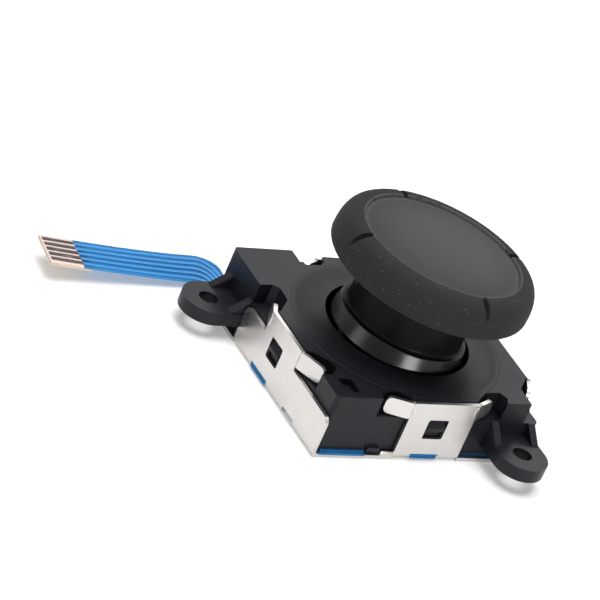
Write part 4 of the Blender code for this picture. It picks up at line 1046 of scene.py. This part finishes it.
class StickOperator:
    """What the operators share: the scene's sizes and colours."""

    bl_options = {"REGISTER", "UNDO"}

    @property
    def sizes(self):
        return bpy.context.scene.stick_sizes

    @property
    def colours(self):
        return bpy.context.scene.stick_colours


class STICK_OT_finishes(StickOperator, bpy.types.Operator):
    """Build every material of the analog stick"""

    bl_idname = "analog_stick.finishes"
    bl_label = "Finishes"

    def execute(self, context):
        make_finishes(self.colours, self.sizes)
        return {"FINISHED"}


class STICK_OT_base_plate(StickOperator, bpy.types.Operator):
    """Round the stamped steel base, its walls and their fingers"""

    bl_idname = "analog_stick.base_plate"
    bl_label = "Steel base"

    def execute(self, context):
        dress_node("base_plate", self.sizes.steel_edge)
        block_piece("base_plate_curl", *CURL_BOX, CURL_EDGE, "case", "steel")
        return {"FINISHED"}


class STICK_OT_housing(StickOperator, bpy.types.Operator):
    """Round the edges of the moulded case and lay the fine bead round its dome"""

    bl_idname = "analog_stick.housing"
    bl_label = "Moulded case"

    def execute(self, context):
        dress_node("housing", self.sizes.case_edge)
        new_piece("dome_foot", foot_arcs(self.sizes), "case", "case_plastic")
        return {"FINISHED"}


class STICK_OT_film(StickOperator, bpy.types.Operator):
    """Finish the printed film with its runners, contacts and stiffener"""

    bl_idname = "analog_stick.film"
    bl_label = "Printed film"

    def execute(self, context):
        dress_node("flex_circuit", SHEET_EDGE, 1, drawn_tail)
        dress_node("tail_stiffener", SHEET_EDGE, 1, drawn_tail)
        for number in range(1, CONTACT_COUNT + 1):
            dress_node(f"tail_contact_{number}", CONTACT_EDGE, 1, drawn_contact)
        values = {"Width": self.sizes.runner_width, "Height": self.sizes.runner_height * 2}
        mesh = grown_mesh(runner_guides(), runner_tree(), values)
        block_piece("film_front_fold", *FOLD_BOX, FOLD_EDGE, "case", "film")
        runners = new_piece("tail_runners", mesh, "case", "runner")
        return {"FINISHED"}


class STICK_OT_stem(StickOperator, bpy.types.Operator):
    """Polish the stick's core and its hinge pin"""

    bl_idname = "analog_stick.stem"
    bl_label = "Stick core and pin"

    def execute(self, context):
        dress_node("stick_stem", self.sizes.stem_edge, 3, crisp_collar)
        dress_node("pivot_pin", self.sizes.small_edge)
        return {"FINISHED"}


class STICK_OT_cap(StickOperator, bpy.types.Operator):
    """Turn the rubber thumb cap with its crease and rim notches"""

    bl_idname = "analog_stick.cap"
    bl_label = "Thumb cap"

    def execute(self, context):
        piece = new_piece("thumb_cap_finished", cap_mesh(self.sizes), "stick", "cap_rubber", "thumb_cap")
        return {"FINISHED"}


class STICK_OT_spring(StickOperator, bpy.types.Operator):
    """Wind the return spring and finish the ring below it"""

    bl_idname = "analog_stick.spring"
    bl_label = "Return spring and ring"

    def execute(self, context):
        dress_node("pressure_ring", self.sizes.small_edge)
        low, high = spring_ends()
        values = {
            "Turns": float(self.sizes.spring_turns),
            "Radius": SPRING_RADIUS,
            "Height": high - low,
            "Wire": SPRING_WIRE,
        }
        mesh = grown_mesh(bpy.data.meshes.new("spring_start"), spring_tree(), values)
        for vertex in mesh.vertices:
            vertex.co = lean_point(vertex.co + Vector((0, 0, low)))
        smooth_faces(mesh, 60.0)
        piece = new_piece("return_spring_finished", mesh, "stick", "spring_steel", "return_spring")
        return {"FINISHED"}


class STICK_OT_mechanism(StickOperator, bpy.types.Operator):
    """Finish the gimbal, the carriages, the wipers, the tracks and the push switch"""

    bl_idname = "analog_stick.mechanism"
    bl_label = "Inner mechanism"

    def execute(self, context):
        for node in ("tilt_cradle", "x_slider", "y_slider", "click_plunger"):
            dress_node(node, self.sizes.small_edge)
        for node in ("x_wiper", "y_wiper"):
            dress_node(node, SHEET_EDGE, 1)
        dome = dress_node("click_dome", SHEET_EDGE, 1)
        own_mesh(dome)
        for axis in "xy":
            for kind in ("carbon", "collector"):
                dress_node(f"{axis}_{kind}_strip", TRACK_EDGE, 1)
        return {"FINISHED"}


class STICK_OT_stage(StickOperator, bpy.types.Operator):
    """Set the floor, the soft light and the camera"""

    bl_idname = "analog_stick.stage"
    bl_label = "Stage"

    def execute(self, context):
        scene = bpy.context.scene
        scene.view_settings.view_transform = "Standard"
        bm = bmesh.new()
        bmesh.ops.create_grid(bm, x_segments=1, y_segments=1, size=FLOOR_REACH)
        mesh = made_mesh("floor", bm)
        floor = bpy.data.objects.new("floor", mesh)
        mesh.materials.append(floor_finish(self.colours))
        scene.collection.objects.link(floor)
        set_world()
        for name, settings in LAMPS.items():
            area_light(name, *settings)
        camera_data = bpy.data.cameras.new("camera")
        camera_data.lens = CAMERA_LENS
        camera_data.sensor_width = CAMERA_SENSOR
        camera_data.clip_start = CAMERA_NEAR
        camera = bpy.data.objects.new("camera", camera_data)
        camera.location = CAMERA_PLACE
        camera.rotation_euler = Euler([math.radians(part) for part in CAMERA_TURN])
        scene.collection.objects.link(camera)
        scene.camera = camera
        return {"FINISHED"}


OPERATORS = (
    STICK_OT_finishes,
    STICK_OT_base_plate,
    STICK_OT_housing,
    STICK_OT_film,
    STICK_OT_stem,
    STICK_OT_cap,
    STICK_OT_spring,
    STICK_OT_mechanism,
    STICK_OT_stage,
)


class STICK_PT_sidebar(bpy.types.Panel):
    """Lists the analog stick's operators and sizes"""

    bl_label = "Analog stick"
    bl_idname = "STICK_PT_sidebar"
    bl_space_type = "VIEW_3D"
    bl_region_type = "UI"
    bl_category = "Analog stick"

    def draw(self, context):
        for operator in OPERATORS:
            self.layout.operator(operator.bl_idname)
        for group in (context.scene.stick_sizes, context.scene.stick_colours):
            for name in group.__annotations__:
                self.layout.prop(group, name)


CLASSES = (StickSizes, StickColours, *OPERATORS, STICK_PT_sidebar)


def register():
    for item in CLASSES:
        bpy.utils.register_class(item)
    bpy.types.Scene.stick_sizes = PointerProperty(type=StickSizes)
    bpy.types.Scene.stick_colours = PointerProperty(type=StickColours)


def unregister():
    del bpy.types.Scene.stick_colours
    del bpy.types.Scene.stick_sizes
    for item in reversed(CLASSES):
        bpy.utils.unregister_class(item)


def main():
    register()
    for operator in OPERATORS:
        group, name = operator.bl_idname.split(".")
        getattr(getattr(bpy.ops, group), name)()


if __name__ == "__main__":
    main()
